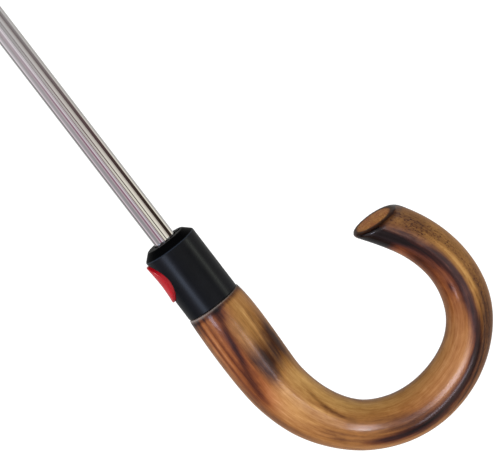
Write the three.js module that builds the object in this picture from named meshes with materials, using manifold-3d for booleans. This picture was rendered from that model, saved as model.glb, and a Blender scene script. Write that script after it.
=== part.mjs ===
// Stick umbrella with a push-button automatic frame, drawn open.
// Millimetres, +Z up the shaft to the ferrule. The origin is on the shaft axis
// in the joint between the wooden crook and the collar. The crook curls to +X
// in the XZ plane and the push button faces -X. Rib 1 points along +X.
import * as THREE from 'three';
import { mergeVertices } from 'three/addons/utils/BufferGeometryUtils.js';
import Module from 'manifold-3d';

const wasm = await Module();
wasm.setup();

// ---------------------------------------------------------------- dimensions
const GAP = 0.3;                 // clearance between neighbouring pieces
const RIBS = 8;

const SHAFT_R = 5.4;             // over the lobes of the fluted tube
const FLUTE_DEPTH = 0.6;
const FLUTES = 6;                // grooves at 0, 60, 120 ... degrees
const SHAFT_BORE = 3.6;
const SHAFT_Z0 = -44, SHAFT_Z1 = 668;
const SLOT_W = 2.4, SLOT_Z0 = 45, SLOT_Z1 = 506;   // drive slot, +Y side

const COLLAR_R = 12.4, COLLAR_TOP_R = 9.1, COLLAR_WALL = 2.0;
const COLLAR_Z0 = 0.3, COLLAR_Z1 = 30.9, COLLAR_Z2 = 34.0, CAVITY_Z = 30.3;

const BUTTON_Z = 19.9, BUTTON_H = 9.45, BUTTON_W = 8.1;   // half height, half width
const BUTTON_OUT = 13.5, BUTTON_BACK = 8.6, BUTTON_SADDLE = 59;
const BUTTON_TRAVEL = 2.0;

const LATCH_Z = 22, LATCH_T = 1.2;

// frame linkage: rib hinge and runner hinge sit on the same radius, and the
// two legs of each arm have the same length, so the runner slides straight
const HINGE_R = 10;              // pivot circle of notch and runner
const NOTCH_Z = 650;             // height of the rib hinges
const ARM = 290;                 // notch pivot to stretcher pivot = stretcher length
const OPEN = 77 * Math.PI / 180;     // arm angle from straight down when open
const CLOSED = 1 * Math.PI / 180;    // and when folded
const EAR = 4;                   // stretcher pivot lies this far under the rib
const BEND_IN = 10 * Math.PI / 180;  // curvature of the inner rib
const TIP_SLOPE = 40 * Math.PI / 180; // slope of the rib at its tip
const OUTER = 295;               // length of the outer rib
const RIB_H = 1.5, RIB_W = 1.4, RIB_T = 0.6;   // half height, half width, wall
const ROD_R = 1.25;
const LUG_R = 2.1, LUG_W = 1.1, LUG_HOLE = 0.9;
const WIRE_R = 0.5;
const HEAD_R = 12.5, GROOVE_R = 9.2, GROOVE_H = 0.8, SLOT = 1.7, SLOT_R = 7.4;
const STEPS = 6;                 // spans along each half of a rib

const CANOPY_UNDER = 1.9, CANOPY_T = 0.8;
const HALF_GORE = Math.PI / RIBS;
const SAG = 18;                  // dip of the cloth between two ribs at the hem
const SCALLOP = 16;              // hem drawn in between the tips

const FERRULE_Z0 = 658, FERRULE_Z1 = 718;

// crook centre line and radius: x, z, radius
const CROOK = [
  [0.0, 0.0, 12.8], [0.2, -2.2, 13.11], [0.3, -8.1, 13.42], [0.2, -15.8, 13.69],
  [0.0, -25.6, 13.58], [-0.1, -35.2, 13.33], [0.1, -44.3, 12.92], [1.7, -52.9, 12.55],
  [4.1, -60.8, 12.14], [7.8, -68.2, 11.62], [12.7, -75.1, 11.15], [18.8, -81.1, 10.87],
  [26.1, -85.5, 10.82], [33.9, -88.5, 10.88], [41.8, -89.9, 10.92], [49.7, -89.9, 10.87],
  [57.8, -88.5, 10.66], [65.7, -85.8, 10.43], [73.1, -81.7, 10.22], [79.5, -76.2, 10.09],
  [84.4, -69.8, 10.07], [87.5, -62.7, 10.04], [89.2, -54.8, 9.91], [89.4, -46.4, 9.72],
  [87.9, -37.7, 9.64], [84.9, -29.2, 9.62], [80.7, -21.5, 9.65], [76.0, -14.4, 9.49],
  [71.0, -7.5, 9.3],
];
const CROOK_SIDES = 18;
const CROOK_END_Z = -13.4, CROOK_END_TILT = 12 * Math.PI / 180;

// ---------------------------------------------------------------- materials
const look = (color, roughness, metalness) =>
  new THREE.MeshStandardMaterial({ color, roughness, metalness });
const WOOD = look(0xa06a35, 0.28, 0);
const BLACK = look(0x111214, 0.42, 0);
const RED = look(0xc2132b, 0.18, 0);
const CHROME = look(0xc9c9c6, 0.16, 1);
const STEEL = look(0x8d8f91, 0.35, 1);
const BLACK_STEEL = look(0x1d1e20, 0.4, 0.8);
const FIBRE = look(0x18181a, 0.5, 0);
const CLOTH = look(0x17181b, 0.85, 0);
const BRASS = look(0xb08d4a, 0.35, 1);

// ---------------------------------------------------------------- helpers
const V = (x, y, z) => new THREE.Vector3(x, y, z);

/** Merged position-only geometry with no empty triangles and its faces out. */
function clean(geometry) {
  let g = geometry.clone();
  for (const name of Object.keys(g.attributes)) if (name !== 'position') g.deleteAttribute(name);
  g = mergeVertices(g, 1e-4);
  const p = g.attributes.position, ix = g.index.array, keep = [];
  let volume = 0;
  const a = V(), b = V(), c = V();
  for (let i = 0; i < ix.length; i += 3) {
    const [u, v, w] = [ix[i], ix[i + 1], ix[i + 2]];
    if (u === v || v === w || u === w) continue;
    keep.push(u, v, w);
    a.fromBufferAttribute(p, u); b.fromBufferAttribute(p, v); c.fromBufferAttribute(p, w);
    volume += a.dot(b.cross(c));
  }
  if (volume < 0) for (let i = 0; i < keep.length; i += 3) [keep[i], keep[i + 1]] = [keep[i + 1], keep[i]];
  g.setIndex(keep);
  return g;
}

/** Geometry to a solid that can be joined and cut. */
function solid(geometry) {
  const g = clean(geometry);
  return new wasm.Manifold(new wasm.Mesh({
    numProp: 3,
    vertProperties: new Float32Array(g.attributes.position.array),
    triVerts: new Uint32Array(g.index.array),
  }));
}

/** And back to a geometry. */
function skin(s) {
  const m = s.getMesh(), g = new THREE.BufferGeometry();
  g.setAttribute('position', new THREE.BufferAttribute(new Float32Array(m.vertProperties), 3));
  g.setIndex(new THREE.BufferAttribute(new Uint32Array(m.triVerts), 1));
  return g;
}

/** A profile of [radius, z] pairs turned about Z. */
function lathe(profile, sides = 32, phase = 0) {
  const g = new THREE.LatheGeometry(profile.map(([r, z]) => new THREE.Vector2(r, z)), sides);
  g.rotateX(Math.PI / 2);
  if (phase) g.rotateZ(phase);
  return clean(g);
}
/** A turned ring whose profile closes on itself. */
const ring = (profile, sides = 32, phase = 0) => lathe([...profile, profile[0]], sides, phase);

function cylinder(r, length, sides, axis = 'z') {
  const g = new THREE.CylinderGeometry(r, r, length, sides);
  if (axis === 'z') g.rotateX(Math.PI / 2);
  if (axis === 'x') g.rotateZ(Math.PI / 2);
  return g;
}
function box(x0, x1, y0, y1, z0, z1) {
  const g = new THREE.BoxGeometry(x1 - x0, y1 - y0, z1 - z0);
  g.translate((x0 + x1) / 2, (y0 + y1) / 2, (z0 + z1) / 2);
  return g;
}
function extrude(points, z0, z1) {
  const g = new THREE.ExtrudeGeometry(new THREE.Shape(points.map(([x, y]) => new THREE.Vector2(x, y))),
    { depth: z1 - z0, bevelEnabled: false, steps: 1 });
  g.translate(0, 0, z0);
  return g;
}

/** Rings of equal length joined into one closed body; section gives the cap's outline. */
function loft(rings, section, capFaces) {
  const n = rings[0].length, pos = [], index = [];
  for (const r of rings) for (const p of r) pos.push(p.x, p.y, p.z);
  for (let k = 0; k + 1 < rings.length; k++) for (let i = 0; i < n; i++) {
    const a = k * n + i, b = k * n + (i + 1) % n;
    index.push(a, b, b + n, a, b + n, a + n);
  }
  const cap = capFaces || THREE.ShapeUtils.triangulateShape(section, []);
  const turn = THREE.ShapeUtils.isClockWise(section) ? -1 : 1;
  const last = (rings.length - 1) * n;
  for (const [a, b, c] of cap) {
    if (turn > 0) { index.push(a, c, b, last + a, last + b, last + c); } else { index.push(a, b, c, last + a, last + c, last + b); }
  }
  const g = new THREE.BufferGeometry();
  g.setAttribute('position', new THREE.Float32BufferAttribute(pos, 3));
  g.setIndex(index);
  return clean(g);
}
const polygon = (r, sides, phase = 0) => Array.from({ length: sides }, (_, i) => {
  const a = phase + i / sides * 2 * Math.PI;
  return new THREE.Vector2(r * Math.cos(a), r * Math.sin(a));
});

/** A round wire along points. */
function wire(points, r, sides) {
  const section = polygon(r, sides);
  const rings = points.map((p, k) => {
    const t = points[Math.min(k + 1, points.length - 1)].clone().sub(points[Math.max(k - 1, 0)]).normalize();
    const side = Math.abs(t.z) < 0.9 ? V(0, 0, 1).cross(t).normalize() : V(0, 1, 0).cross(t).normalize();
    const up = t.clone().cross(side);
    return section.map(q => p.clone().addScaledVector(side, q.x).addScaledVector(up, q.y));
  });
  return loft(rings, section);
}
function coil(radius, length, turns, wireR, stepsPerTurn, sides) {
  const points = [];
  const n = Math.round(turns * stepsPerTurn);
  for (let i = 0; i <= n; i++) {
    const a = i / stepsPerTurn * 2 * Math.PI;
    points.push(V(radius * Math.cos(a), radius * Math.sin(a), wireR + (length - 2 * wireR) * i / n));
  }
  return wire(points, wireR, sides);
}

const umbrella = new THREE.Group();
umbrella.name = 'stick_umbrella';
function piece(name, geometry, material, parent = umbrella) {
  const mesh = new THREE.Mesh(geometry, material);
  mesh.name = name;
  parent.add(mesh);
  return mesh;
}

// ---------------------------------------------------------------- crook handle
{
  const centre = new THREE.CatmullRomCurve3(CROOK.map(([x, z]) => V(x, 0, z)), false, 'centripetal');
  const section = polygon(1, CROOK_SIDES, Math.PI / CROOK_SIDES);
  const grow = 1 / Math.sqrt(Math.cos(Math.PI / CROOK_SIDES));
  const rings = CROOK.map(([x, z, r], k) => {
    let t = k === 0 ? V(0, 0, -1) : centre.getTangent(k / (CROOK.length - 1));
    const n = V(t.z, 0, -t.x).normalize();       // in the plane of the crook
    return section.map(q => V(x, 0, z).addScaledVector(n, q.x * r * grow).add(V(0, q.y * r * grow, 0)));
  });
  let crook = solid(loft(rings, section));
  // oblique flat end
  const cutter = new THREE.BoxGeometry(60, 60, 40);
  cutter.translate(0, 0, 20);
  cutter.rotateX(CROOK_END_TILT);
  cutter.translate(74, 0, CROOK_END_Z);
  crook = crook.subtract(solid(cutter));
  // socket for the shaft
  const socket = cylinder(SHAFT_R + 0.5, 60, 20);
  socket.translate(0, 0, SHAFT_Z0 - 0.5 + 30);
  crook = crook.subtract(solid(socket));
  piece('crook_handle', skin(crook), WOOD);
}

// ---------------------------------------------------------------- shaft
function fluted(clear, n = 36) {
  return Array.from({ length: n }, (_, i) => {
    const a = i / n * 2 * Math.PI;
    const r = SHAFT_R + clear - FLUTE_DEPTH * (0.5 + 0.5 * Math.cos(FLUTES * a));
    return [r * Math.cos(a), r * Math.sin(a)];
  });
}
{
  let tube = solid(extrude(fluted(0), SHAFT_Z0, SHAFT_Z1));
  const bore = cylinder(SHAFT_BORE, SHAFT_Z1 - SHAFT_Z0 + 4, 18);
  bore.translate(0, 0, (SHAFT_Z0 + SHAFT_Z1) / 2);
  tube = tube.subtract(solid(bore));
  tube = tube.subtract(solid(box(-SLOT_W / 2, SLOT_W / 2, 1, 9, SLOT_Z0, SLOT_Z1)));
  const pinHole = cylinder(1.2, 14, 10, 'y');
  pinHole.translate(0, 0, -39);
  tube = tube.subtract(solid(pinHole));
  piece('shaft_tube', skin(tube), CHROME);
}
// plug under the main spring, and the pin that holds it in the tube
{
  let plug = solid(lathe([[0, -43.5], [3.3, -43.5], [3.3, -36], [2.2, -35], [2.2, -33], [0, -33]], 16));
  const hole = cylinder(1.2, 12, 10, 'y');
  hole.translate(0, 0, -39);
  plug = plug.subtract(solid(hole));
  piece('spring_seat', skin(plug), STEEL);
  const pin = cylinder(0.9, 10.4, 10, 'y');
  pin.translate(0, 0, -39);
  piece('seat_pin', clean(pin), STEEL);
}

// ---------------------------------------------------------------- linkage numbers
const M = { r: HINGE_R + ARM * Math.sin(OPEN), z: NOTCH_Z - ARM * Math.cos(OPEN) };  // stretcher pivot
const RUNNER_Z = NOTCH_Z - 2 * ARM * Math.cos(OPEN);
const TRAVEL = 2 * ARM * (Math.cos(CLOSED) - Math.cos(OPEN));
const armSlope = Math.PI / 2 - OPEN;
const chord = Math.hypot(ARM, EAR), chordSlope = armSlope - Math.atan2(EAR, ARM);
const IN0 = chordSlope - BEND_IN / 2, IN1 = chordSlope + BEND_IN / 2;
const INNER = chord * (BEND_IN / 2) / Math.sin(BEND_IN / 2);
const K1 = BEND_IN / INNER, K2 = (TIP_SLOPE - IN1) / OUTER;
/** Rib centre line at arc length s: radius, height and slope below horizontal. */
function rib(s) {
  const inner = s <= INNER, k = inner ? K1 : K2, f0 = inner ? IN0 : IN1;
  const base = inner ? { r: HINGE_R, z: NOTCH_Z } : rib(INNER);
  const f = f0 + k * (inner ? s : s - INNER);
  return { r: base.r + (Math.sin(f) - Math.sin(f0)) / k, z: base.z + (Math.cos(f) - Math.cos(f0)) / k, f };
}
/** The point h above the rib line at s, in the XZ plane. */
function over(s, h) {
  const p = rib(s);
  return V(p.r + h * Math.sin(p.f), 0, p.z + h * Math.cos(p.f));
}

// ---------------------------------------------------------------- collar, button and latch
{
  let collar = solid(lathe([[0, COLLAR_Z0], [COLLAR_R, COLLAR_Z0], [COLLAR_R, COLLAR_Z1],
    [COLLAR_TOP_R, COLLAR_Z2], [0, COLLAR_Z2]], 40));
  collar = collar.subtract(solid(lathe([[0, -5], [COLLAR_R - COLLAR_WALL, -5], [COLLAR_R - COLLAR_WALL, CAVITY_Z], [0, CAVITY_Z]], 32)));
  collar = collar.subtract(solid(extrude(fluted(0.35), 20, 40)));
  collar = collar.subtract(solid(box(4.2, 7.6, -1.3, 1.3, 20, 40)));   // way in for the catch tongue
  const oval = (h, w, x0, x1) => {
    const g = new THREE.CylinderGeometry(1, 1, x1 - x0, 28);
    g.rotateZ(Math.PI / 2);
    g.scale(1, w, h);
    g.translate((x0 + x1) / 2, 0, BUTTON_Z);
    return g;
  };
  const window_ = oval(BUTTON_H + 0.35, BUTTON_W + 0.35, -20, -3);
  collar = collar.subtract(solid(window_));
  piece('collar_housing', skin(collar), BLACK);

  let button = solid(oval(BUTTON_H, BUTTON_W, -20, -BUTTON_BACK));
  button = button.intersect(solid(lathe([[0, 0], [BUTTON_OUT, 0], [BUTTON_OUT, 40], [0, 40]], 64)));
  const saddle = cylinder(BUTTON_SADDLE, 40, 120, 'y');
  saddle.translate(-12.95 - BUTTON_SADDLE, 0, BUTTON_Z - 0.6);
  button = button.subtract(solid(saddle));
  button = button.add(solid(box(-9.5, -BUTTON_BACK, -3.5, 3.5, 7.6, 30.0)));
  piece('push_button', skin(button), RED);

  const g = coil(1.7, 3.1, 3, 0.2, 8, 4);
  g.rotateY(Math.PI / 2);
  g.translate(-BUTTON_BACK + 0.2, 0, 13);
  piece('button_spring', clean(g), STEEL);

  const half = (pts) => [...pts, ...pts.slice().reverse().map(([x, y]) => [x, -y])];
  const z0 = LATCH_Z, z1 = LATCH_Z + LATCH_T;
  let latch = solid(extrude(half([[-8.3, 4.9], [-6.4, 7.5], [3.4, 7.5], [7.3, 3.2]]), z0, z1));
  latch = latch.subtract(solid(extrude(half([[-7.4, 3.3], [-5.4, 5.9], [2.8, 5.9], [6.05, 2.6]]), z0 - 2, z1 + 2)));
  piece('latch_plate', skin(latch), STEEL);
}

// ---------------------------------------------------------------- runner
const spokes = (make) => {
  let all = null;
  for (let i = 0; i < RIBS; i++) {
    const g = make();
    g.rotateZ(i * 2 * Math.PI / RIBS);
    const s = solid(g);
    all = all ? all.add(s) : s;
  }
  return all;
};
{
  const z = RUNNER_Z, b = z - 35.4;
  let runner = solid(ring([[5.9, b], [8.8, b], [9.2, b + 2], [8.2, b + 6], [7.6, b + 14], [7.6, z - 6.5], [HEAD_R - 1, z - 4.2],
    [HEAD_R, z - 3.4], [HEAD_R, z - GROOVE_H], [GROOVE_R, z - GROOVE_H], [GROOVE_R, z + GROOVE_H], [HEAD_R, z + GROOVE_H],
    [HEAD_R, z + 2.4], [7.2, z + 2.4], [7.2, z + 4.2], [5.9, z + 4.2]], 24, Math.PI / 24));
  runner = runner.subtract(spokes(() => box(SLOT_R, 20, -SLOT, SLOT, z - 2.8, z + 9)));
  // hole for the drive pin on the +Y side
  const hole = cylinder(1.2, 6, 10, 'y');
  hole.translate(0, 7, z - 20);
  runner = runner.subtract(solid(hole));
  // tongue with a barb that lies in the flute on +X and enters the collar
  const shut = z - TRAVEL;
  const at = (h) => h - shut + z;      // height on the folded umbrella to height on the open one
  const tongue = new THREE.Shape([[5.15, at(18.4)], [5.8, at(18.4)], [7.1, at(20.9)], [7.1, at(21.7)], [5.75, at(21.7)],
    [5.75, b + 1], [6.6, b + 3], [6.6, b + 10], [5.15, b + 10]].map(([x, y]) => new THREE.Vector2(x, y)));
  const tg = new THREE.ExtrudeGeometry(tongue, { depth: 1.8, bevelEnabled: false });
  tg.rotateX(Math.PI / 2);
  tg.translate(0, 0.9, 0);
  runner = runner.add(solid(tg));
  piece('runner', skin(runner), BLACK);
  const w = new THREE.TorusGeometry(HINGE_R, WIRE_R, 5, 24);
  w.translate(0, 0, z);
  piece('runner_wire', clean(w), STEEL);

  // plunger in the shaft and the pin that joins it to the runner through the slot
  let plunger = solid(lathe([[0, z - 30], [2.2, z - 30], [2.2, z - 28], [3.2, z - 27], [3.2, z - 14], [0, z - 14]], 16));
  const across = cylinder(1.2, 12, 10, 'y');
  across.translate(0, 0, z - 20);
  plunger = plunger.subtract(solid(across));
  piece('spring_plunger', skin(plunger), STEEL);
  const pin = cylinder(0.85, 10.2, 10, 'y');
  pin.translate(0, 2.3, z - 20);
  piece('drive_pin', clean(pin), STEEL);

  // main spring, drawn with fewer and wider turns than the real one
  const spring = coil(2.85, z - 28.4 - (-34.6), 18, 0.42, 7, 4);
  spring.translate(0, 0, -34.6);
  piece('main_spring', clean(spring), STEEL);
}

// ---------------------------------------------------------------- notch, cap and ferrule
{
  const z = NOTCH_Z;
  let notch = solid(ring([[5.8, z - 9], [7.2, z - 9], [7.2, z - 2.4], [HEAD_R, z - 2.4], [HEAD_R, z - GROOVE_H], [GROOVE_R, z - GROOVE_H],
    [GROOVE_R, z + GROOVE_H], [HEAD_R, z + GROOVE_H], [HEAD_R, z + 3.2], [HEAD_R - 0.8, z + 4], [5.8, z + 4]], 24, Math.PI / 24));
  notch = notch.subtract(spokes(() => box(SLOT_R, 20, -SLOT, SLOT, z - 12, z + 2.8)));
  piece('top_notch', skin(notch), BLACK);
  const w = new THREE.TorusGeometry(HINGE_R, WIRE_R, 5, 24);
  w.translate(0, 0, z);
  piece('notch_wire', clean(w), STEEL);
  // domed cap that closes the cloth over the notch
  piece('canopy_cap', ring([[5.8, z + 6.2], [16.5, z + 5.6], [16.5, z + 6.4], [9.6, z + 7.7], [5.8, z + 7.7]], 24), BLACK);
  piece('ferrule', lathe([[0, SHAFT_Z1 + GAP], [5.8, SHAFT_Z1 + GAP], [5.8, FERRULE_Z0], [8.6, FERRULE_Z0], [8.6, FERRULE_Z0 + 3], [7.2, FERRULE_Z0 + 6],
    [6.6, FERRULE_Z0 + 14], [5.0, FERRULE_Z1 - 12], [0, FERRULE_Z1 - 12]], 20), CHROME);
  piece('ferrule_tip', lathe([[0, FERRULE_Z1 - 12 + GAP], [4.6, FERRULE_Z1 - 12 + GAP], [4.4, FERRULE_Z1 - 1.2], [3.4, FERRULE_Z1], [0, FERRULE_Z1]], 24), BLACK);
}

// ---------------------------------------------------------------- one arm of the frame, shared by all eight
const channel = (h, w, t) => [[-w, -h], [-w, h], [w, h], [w, -h], [w - t, -h], [w - t, h - t], [-w + t, h - t], [-w + t, -h]]
  .map(([x, y]) => new THREE.Vector2(x, y));

function along(s0, s1, n) { return Array.from({ length: n + 1 }, (_, i) => s0 + (s1 - s0) * i / n); }

const ribInner = (() => {
  const section = channel(RIB_H, RIB_W, RIB_T);
  const stations = [3.4, ...along(0, INNER, STEPS).slice(1, -1), INNER - 1];
  const rings = stations.map(s => section.map(q => over(s, q.y).add(V(0, q.x, 0))));
  let r = solid(loft(rings, section));
  // hinge lug at the notch
  const lug = cylinder(LUG_R, 2 * LUG_W, 10, 'y');
  lug.translate(HINGE_R, 0, NOTCH_Z);
  const p = rib(4);
  const neck = box(0, 6.5, -LUG_W, LUG_W, -1.2, 1.2);
  neck.rotateY(p.f);
  neck.translate(HINGE_R, 0, NOTCH_Z);
  r = r.add(solid(lug)).add(solid(neck));
  const eye = cylinder(LUG_HOLE, 6, 8, 'y');
  eye.translate(HINGE_R, 0, NOTCH_Z);
  r = r.subtract(solid(eye));
  // ear for the stretcher
  const f = rib(INNER - 0.01).f;
  const ear = box(-1.6, 1.3, -0.4, 0.4, 0, EAR + 1.1);
  ear.rotateY(armSlope);
  ear.translate(M.r, 0, M.z);
  const round = cylinder(1.9, 0.8, 10, 'y');
  round.translate(M.r, 0, M.z);
  r = r.add(solid(ear)).add(solid(round));
  const hole = cylinder(LUG_HOLE, 6, 8, 'y');
  hole.translate(M.r, 0, M.z);
  return skin(r.subtract(solid(hole)));
})();

const ribOuter = (() => {
  const section = polygon(ROD_R, 8, Math.PI / 8);
  const stations = [2.4, ...along(0, OUTER, STEPS).slice(1, -1), OUTER - 5].map(s => INNER + s);
  return loft(stations.map(s => section.map(q => over(s, q.y).add(V(0, q.x, 0)))), section);
})();

const ribTip = (() => {
  const g = lathe([[0, -4.6], [1.9, -4.6], [1.8, 1.0], [2.6, 2.6], [2.4, 4.6], [1.0, 6.1], [0, 6.3]], 8);
  g.rotateY(Math.PI / 2);
  const p = rib(INNER + OUTER);
  g.rotateY(p.f);
  g.translate(p.r, 0, p.z);
  return clean(g);
})();

const stretcher = (() => {
  // drawn along +X from the runner pivot, then tilted up to the rib
  const section = channel(1.2, RIB_W, RIB_T).map(q => new THREE.Vector2(q.x, -q.y));   // open side up
  const rings = [3.4, ARM + 1.6].map(x => section.map(q => V(x, q.x, q.y)));
  let s = solid(loft(rings, section));
  s = s.subtract(solid(box(ARM - 4.5, ARM + 4, -RIB_W + RIB_T, RIB_W - RIB_T, -3, 3)));   // fork around the ear
  const lug = cylinder(LUG_R, 2 * LUG_W, 10, 'y');
  s = s.add(solid(lug)).add(solid(box(0, 6.5, -LUG_W, LUG_W, -1.1, 1.1)));
  s = s.subtract(solid(cylinder(LUG_HOLE, 6, 8, 'y')));
  const rivet = cylinder(0.55, 3.6, 6, 'y');
  rivet.translate(ARM, 0, 0);
  s = s.add(solid(rivet));
  const g = skin(s);
  g.rotateY(-armSlope);
  g.translate(HINGE_R, 0, RUNNER_Z);
  return g;
})();

/** Cloth point: s along the rib, t from -1 to 1 across the two half gores, h above the rib line. */
function cloth(s, t, h) {
  const p = over(s, h), a = Math.abs(t) * HALF_GORE;
  const q = 1 - (1 - Math.abs(t)) ** 2;
  const share = Math.max(0, s) / (INNER + OUTER);
  const r = p.x * Math.cos(HALF_GORE) / Math.cos(HALF_GORE - a);
  const f = rib(s).f, dip = SAG * share ** 2.2 * q;
  const hem = SCALLOP * Math.max(0, (share - 0.75) / 0.25) ** 2 * q;
  const rr = r - dip * Math.sin(f) - hem * Math.cos(f);
  const angle = Math.sign(t) * a;
  return V(rr * Math.cos(angle), rr * Math.sin(angle), p.z - dip * Math.cos(f) + hem * Math.sin(f));
}
const canopyPanel = (() => {
  const ts = [-1, -0.5, 0, 0.5, 1];
  const stations = [...along(0, INNER, STEPS).slice(1), ...along(0, OUTER, STEPS).slice(1, -1).map(s => INNER + s), INNER + OUTER - 6];
  const layer = (lift) => {
    const rows = [];
    // over the notch
    for (const [r, z] of [[7.6, 654.9], [13.4, 654.7], [34, 649.6]]) {
      rows.push(ts.map(t => V(r * Math.cos(HALF_GORE) / Math.cos(HALF_GORE * (1 - Math.abs(t))), 0, z + lift * CANOPY_T)
        .applyAxisAngle(V(0, 0, 1), t * HALF_GORE)));
    }
    for (const s of stations) rows.push(ts.map(t => cloth(s, t, CANOPY_UNDER + lift * CANOPY_T)));
    // keep clear of the neighbouring panel
    for (const row of rows) for (const k of [0, ts.length - 1]) {
      const side = V(0, Math.sign(ts[k]), 0).applyAxisAngle(V(0, 0, 1), ts[k] * HALF_GORE);
      row[k].addScaledVector(side, -0.2);
    }
    return rows;
  };
  const top = layer(1), under = layer(0), n = ts.length, pos = [], index = [];
  const rings = top.map((row, k) => [...under[k], ...row.slice().reverse()]);
  const section = [...Array.from({ length: n }, (_, i) => new THREE.Vector2(i, 0)), ...Array.from({ length: n }, (_, i) => new THREE.Vector2(n - 1 - i, 1))];
  // each end is a strip of narrow quads between the under and the upper face
  const strip = Array.from({ length: n - 1 }, (_, i) => [[i, i + 1, 2 * n - 2 - i], [i, 2 * n - 2 - i, 2 * n - 1 - i]]).flat();
  return loft(rings, section, strip);
})();

for (let i = 0; i < RIBS; i++) {
  const arm = new THREE.Group();
  arm.rotation.z = i * 2 * Math.PI / RIBS;
  umbrella.add(arm);
  piece(`rib_inner_${i + 1}`, ribInner, STEEL, arm);
  piece(`rib_outer_${i + 1}`, ribOuter, FIBRE, arm);
  piece(`rib_tip_${i + 1}`, ribTip, CHROME, arm);
  piece(`stretcher_${i + 1}`, stretcher, STEEL, arm);
  piece(`canopy_${i + 1}`, canopyPanel, CLOTH, arm);
}

// ---------------------------------------------------------------- closing strap on the seam over rib 6
{
  const arm = new THREE.Group();
  arm.rotation.z = 5 * 2 * Math.PI / RIBS;
  umbrella.add(arm);
  const h = CANOPY_UNDER + CANOPY_T + 0.5;
  const section = [[-6, 0], [6, 0], [6, 0.9], [-6, 0.9]].map(([x, y]) => new THREE.Vector2(x, y));
  const rings = [INNER + 3 * OUTER / 6, INNER + 4 * OUTER / 6, INNER + 5 * OUTER / 6].map(s => section.map(q => over(s, h + q.y).add(V(0, q.x, 0))));
  piece('closing_strap', loft(rings, section), CLOTH, arm);
  const s = INNER + 4.75 * OUTER / 6, p = rib(s);
  const snap = lathe([[0, 0], [4.6, 0], [4.6, 0.7], [3.6, 1.5], [0, 1.5]], 16);
  const sag = (OUTER / 6) ** 2 * K2 / 8;
  snap.rotateY(p.f);
  const at = over(s, h + 0.9 + 0.3);
  snap.translate(at.x, 0, at.z);
  piece('strap_snap', snap, BLACK_STEEL, arm);
}

export default umbrella;
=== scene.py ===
import math
import bpy
import bmesh
import numpy as np
from mathutils import Matrix, Vector


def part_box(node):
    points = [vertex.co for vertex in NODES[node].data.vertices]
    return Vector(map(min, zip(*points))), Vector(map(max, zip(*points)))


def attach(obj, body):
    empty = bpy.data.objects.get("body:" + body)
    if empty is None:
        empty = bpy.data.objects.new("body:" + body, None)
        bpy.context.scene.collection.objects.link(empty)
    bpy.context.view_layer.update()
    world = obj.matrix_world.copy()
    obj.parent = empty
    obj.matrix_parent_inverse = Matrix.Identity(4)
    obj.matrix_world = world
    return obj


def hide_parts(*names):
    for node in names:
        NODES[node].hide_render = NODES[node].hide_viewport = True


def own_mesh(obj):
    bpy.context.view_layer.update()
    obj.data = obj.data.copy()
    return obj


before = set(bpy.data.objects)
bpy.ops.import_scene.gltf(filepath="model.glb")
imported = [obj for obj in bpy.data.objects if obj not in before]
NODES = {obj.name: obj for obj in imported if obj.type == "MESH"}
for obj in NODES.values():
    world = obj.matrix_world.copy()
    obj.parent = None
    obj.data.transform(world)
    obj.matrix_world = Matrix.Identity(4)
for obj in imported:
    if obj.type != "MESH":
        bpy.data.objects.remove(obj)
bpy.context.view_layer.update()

scene = bpy.context.scene
MM = 0.001

# ------------------------------------------------------------------ the frame's own numbers, in millimetres
RIBS = 8
SHAFT_R, FLUTE_DEPTH, FLUTES, SHAFT_BORE = 5.4, 0.6, 6, 3.6
HINGE_R, NOTCH_Z, ARM, EAR = 10.0, 650.0, 290.0, 4.0
OPEN = math.radians(77)
OUTER = 295.0
RUNNER_Z = NOTCH_Z - 2 * ARM * math.cos(OPEN)
ARM_SLOPE = math.pi / 2 - OPEN
CHORD = math.hypot(ARM, EAR)
BEND_IN = math.radians(10)
IN0 = ARM_SLOPE - math.atan2(EAR, ARM) - BEND_IN / 2
IN1 = IN0 + BEND_IN
INNER = CHORD * (BEND_IN / 2) / math.sin(BEND_IN / 2)
K1, K2 = BEND_IN / INNER, (math.radians(40) - IN1) / OUTER
HALF = math.pi / RIBS
SAG, SCALLOP = 18.0, 16.0


def rib(s):
    """Rib centre line at arc length s: radius, height, slope under the horizontal (arrays)."""
    s = np.asarray(s, float)
    jr = HINGE_R + (math.sin(IN1) - math.sin(IN0)) / K1
    jz = NOTCH_Z + (math.cos(IN1) - math.cos(IN0)) / K1
    fi = IN0 + K1 * s
    fo = IN1 + K2 * (s - INNER)
    inner = s <= INNER
    r = np.where(inner, HINGE_R + (np.sin(fi) - math.sin(IN0)) / K1, jr + (np.sin(fo) - math.sin(IN1)) / K2)
    z = np.where(inner, NOTCH_Z + (np.cos(fi) - math.cos(IN0)) / K1, jz + (np.cos(fo) - math.cos(IN1)) / K2)
    return r, z, np.where(inner, fi, fo)


# ------------------------------------------------------------------ mesh helpers
def mesh_object(name, verts, faces, sharp=35.0, attrs=None):
    """A mesh object from points in millimetres."""
    me = bpy.data.meshes.new(name)
    me.from_pydata((np.asarray(verts, float) * MM).tolist(), [], [list(map(int, f)) for f in faces])
    me.update()
    bm = bmesh.new()
    bm.from_mesh(me)
    bmesh.ops.recalc_face_normals(bm, faces=bm.faces)
    bm.to_mesh(me)
    bm.free()
    me.shade_smooth()
    if sharp:
        me.set_sharp_from_angle(angle=math.radians(sharp))
    for key, value in (attrs or {}).items():
        value = np.asarray(value, np.float32)
        kind = "FLOAT_VECTOR" if value.ndim == 2 else "FLOAT"
        a = me.attributes.new(key, kind, "POINT")
        a.data.foreach_set("vector" if value.ndim == 2 else "value", value.ravel())
    ob = bpy.data.objects.new(name, me)
    scene.collection.objects.link(ob)
    return ob


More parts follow.
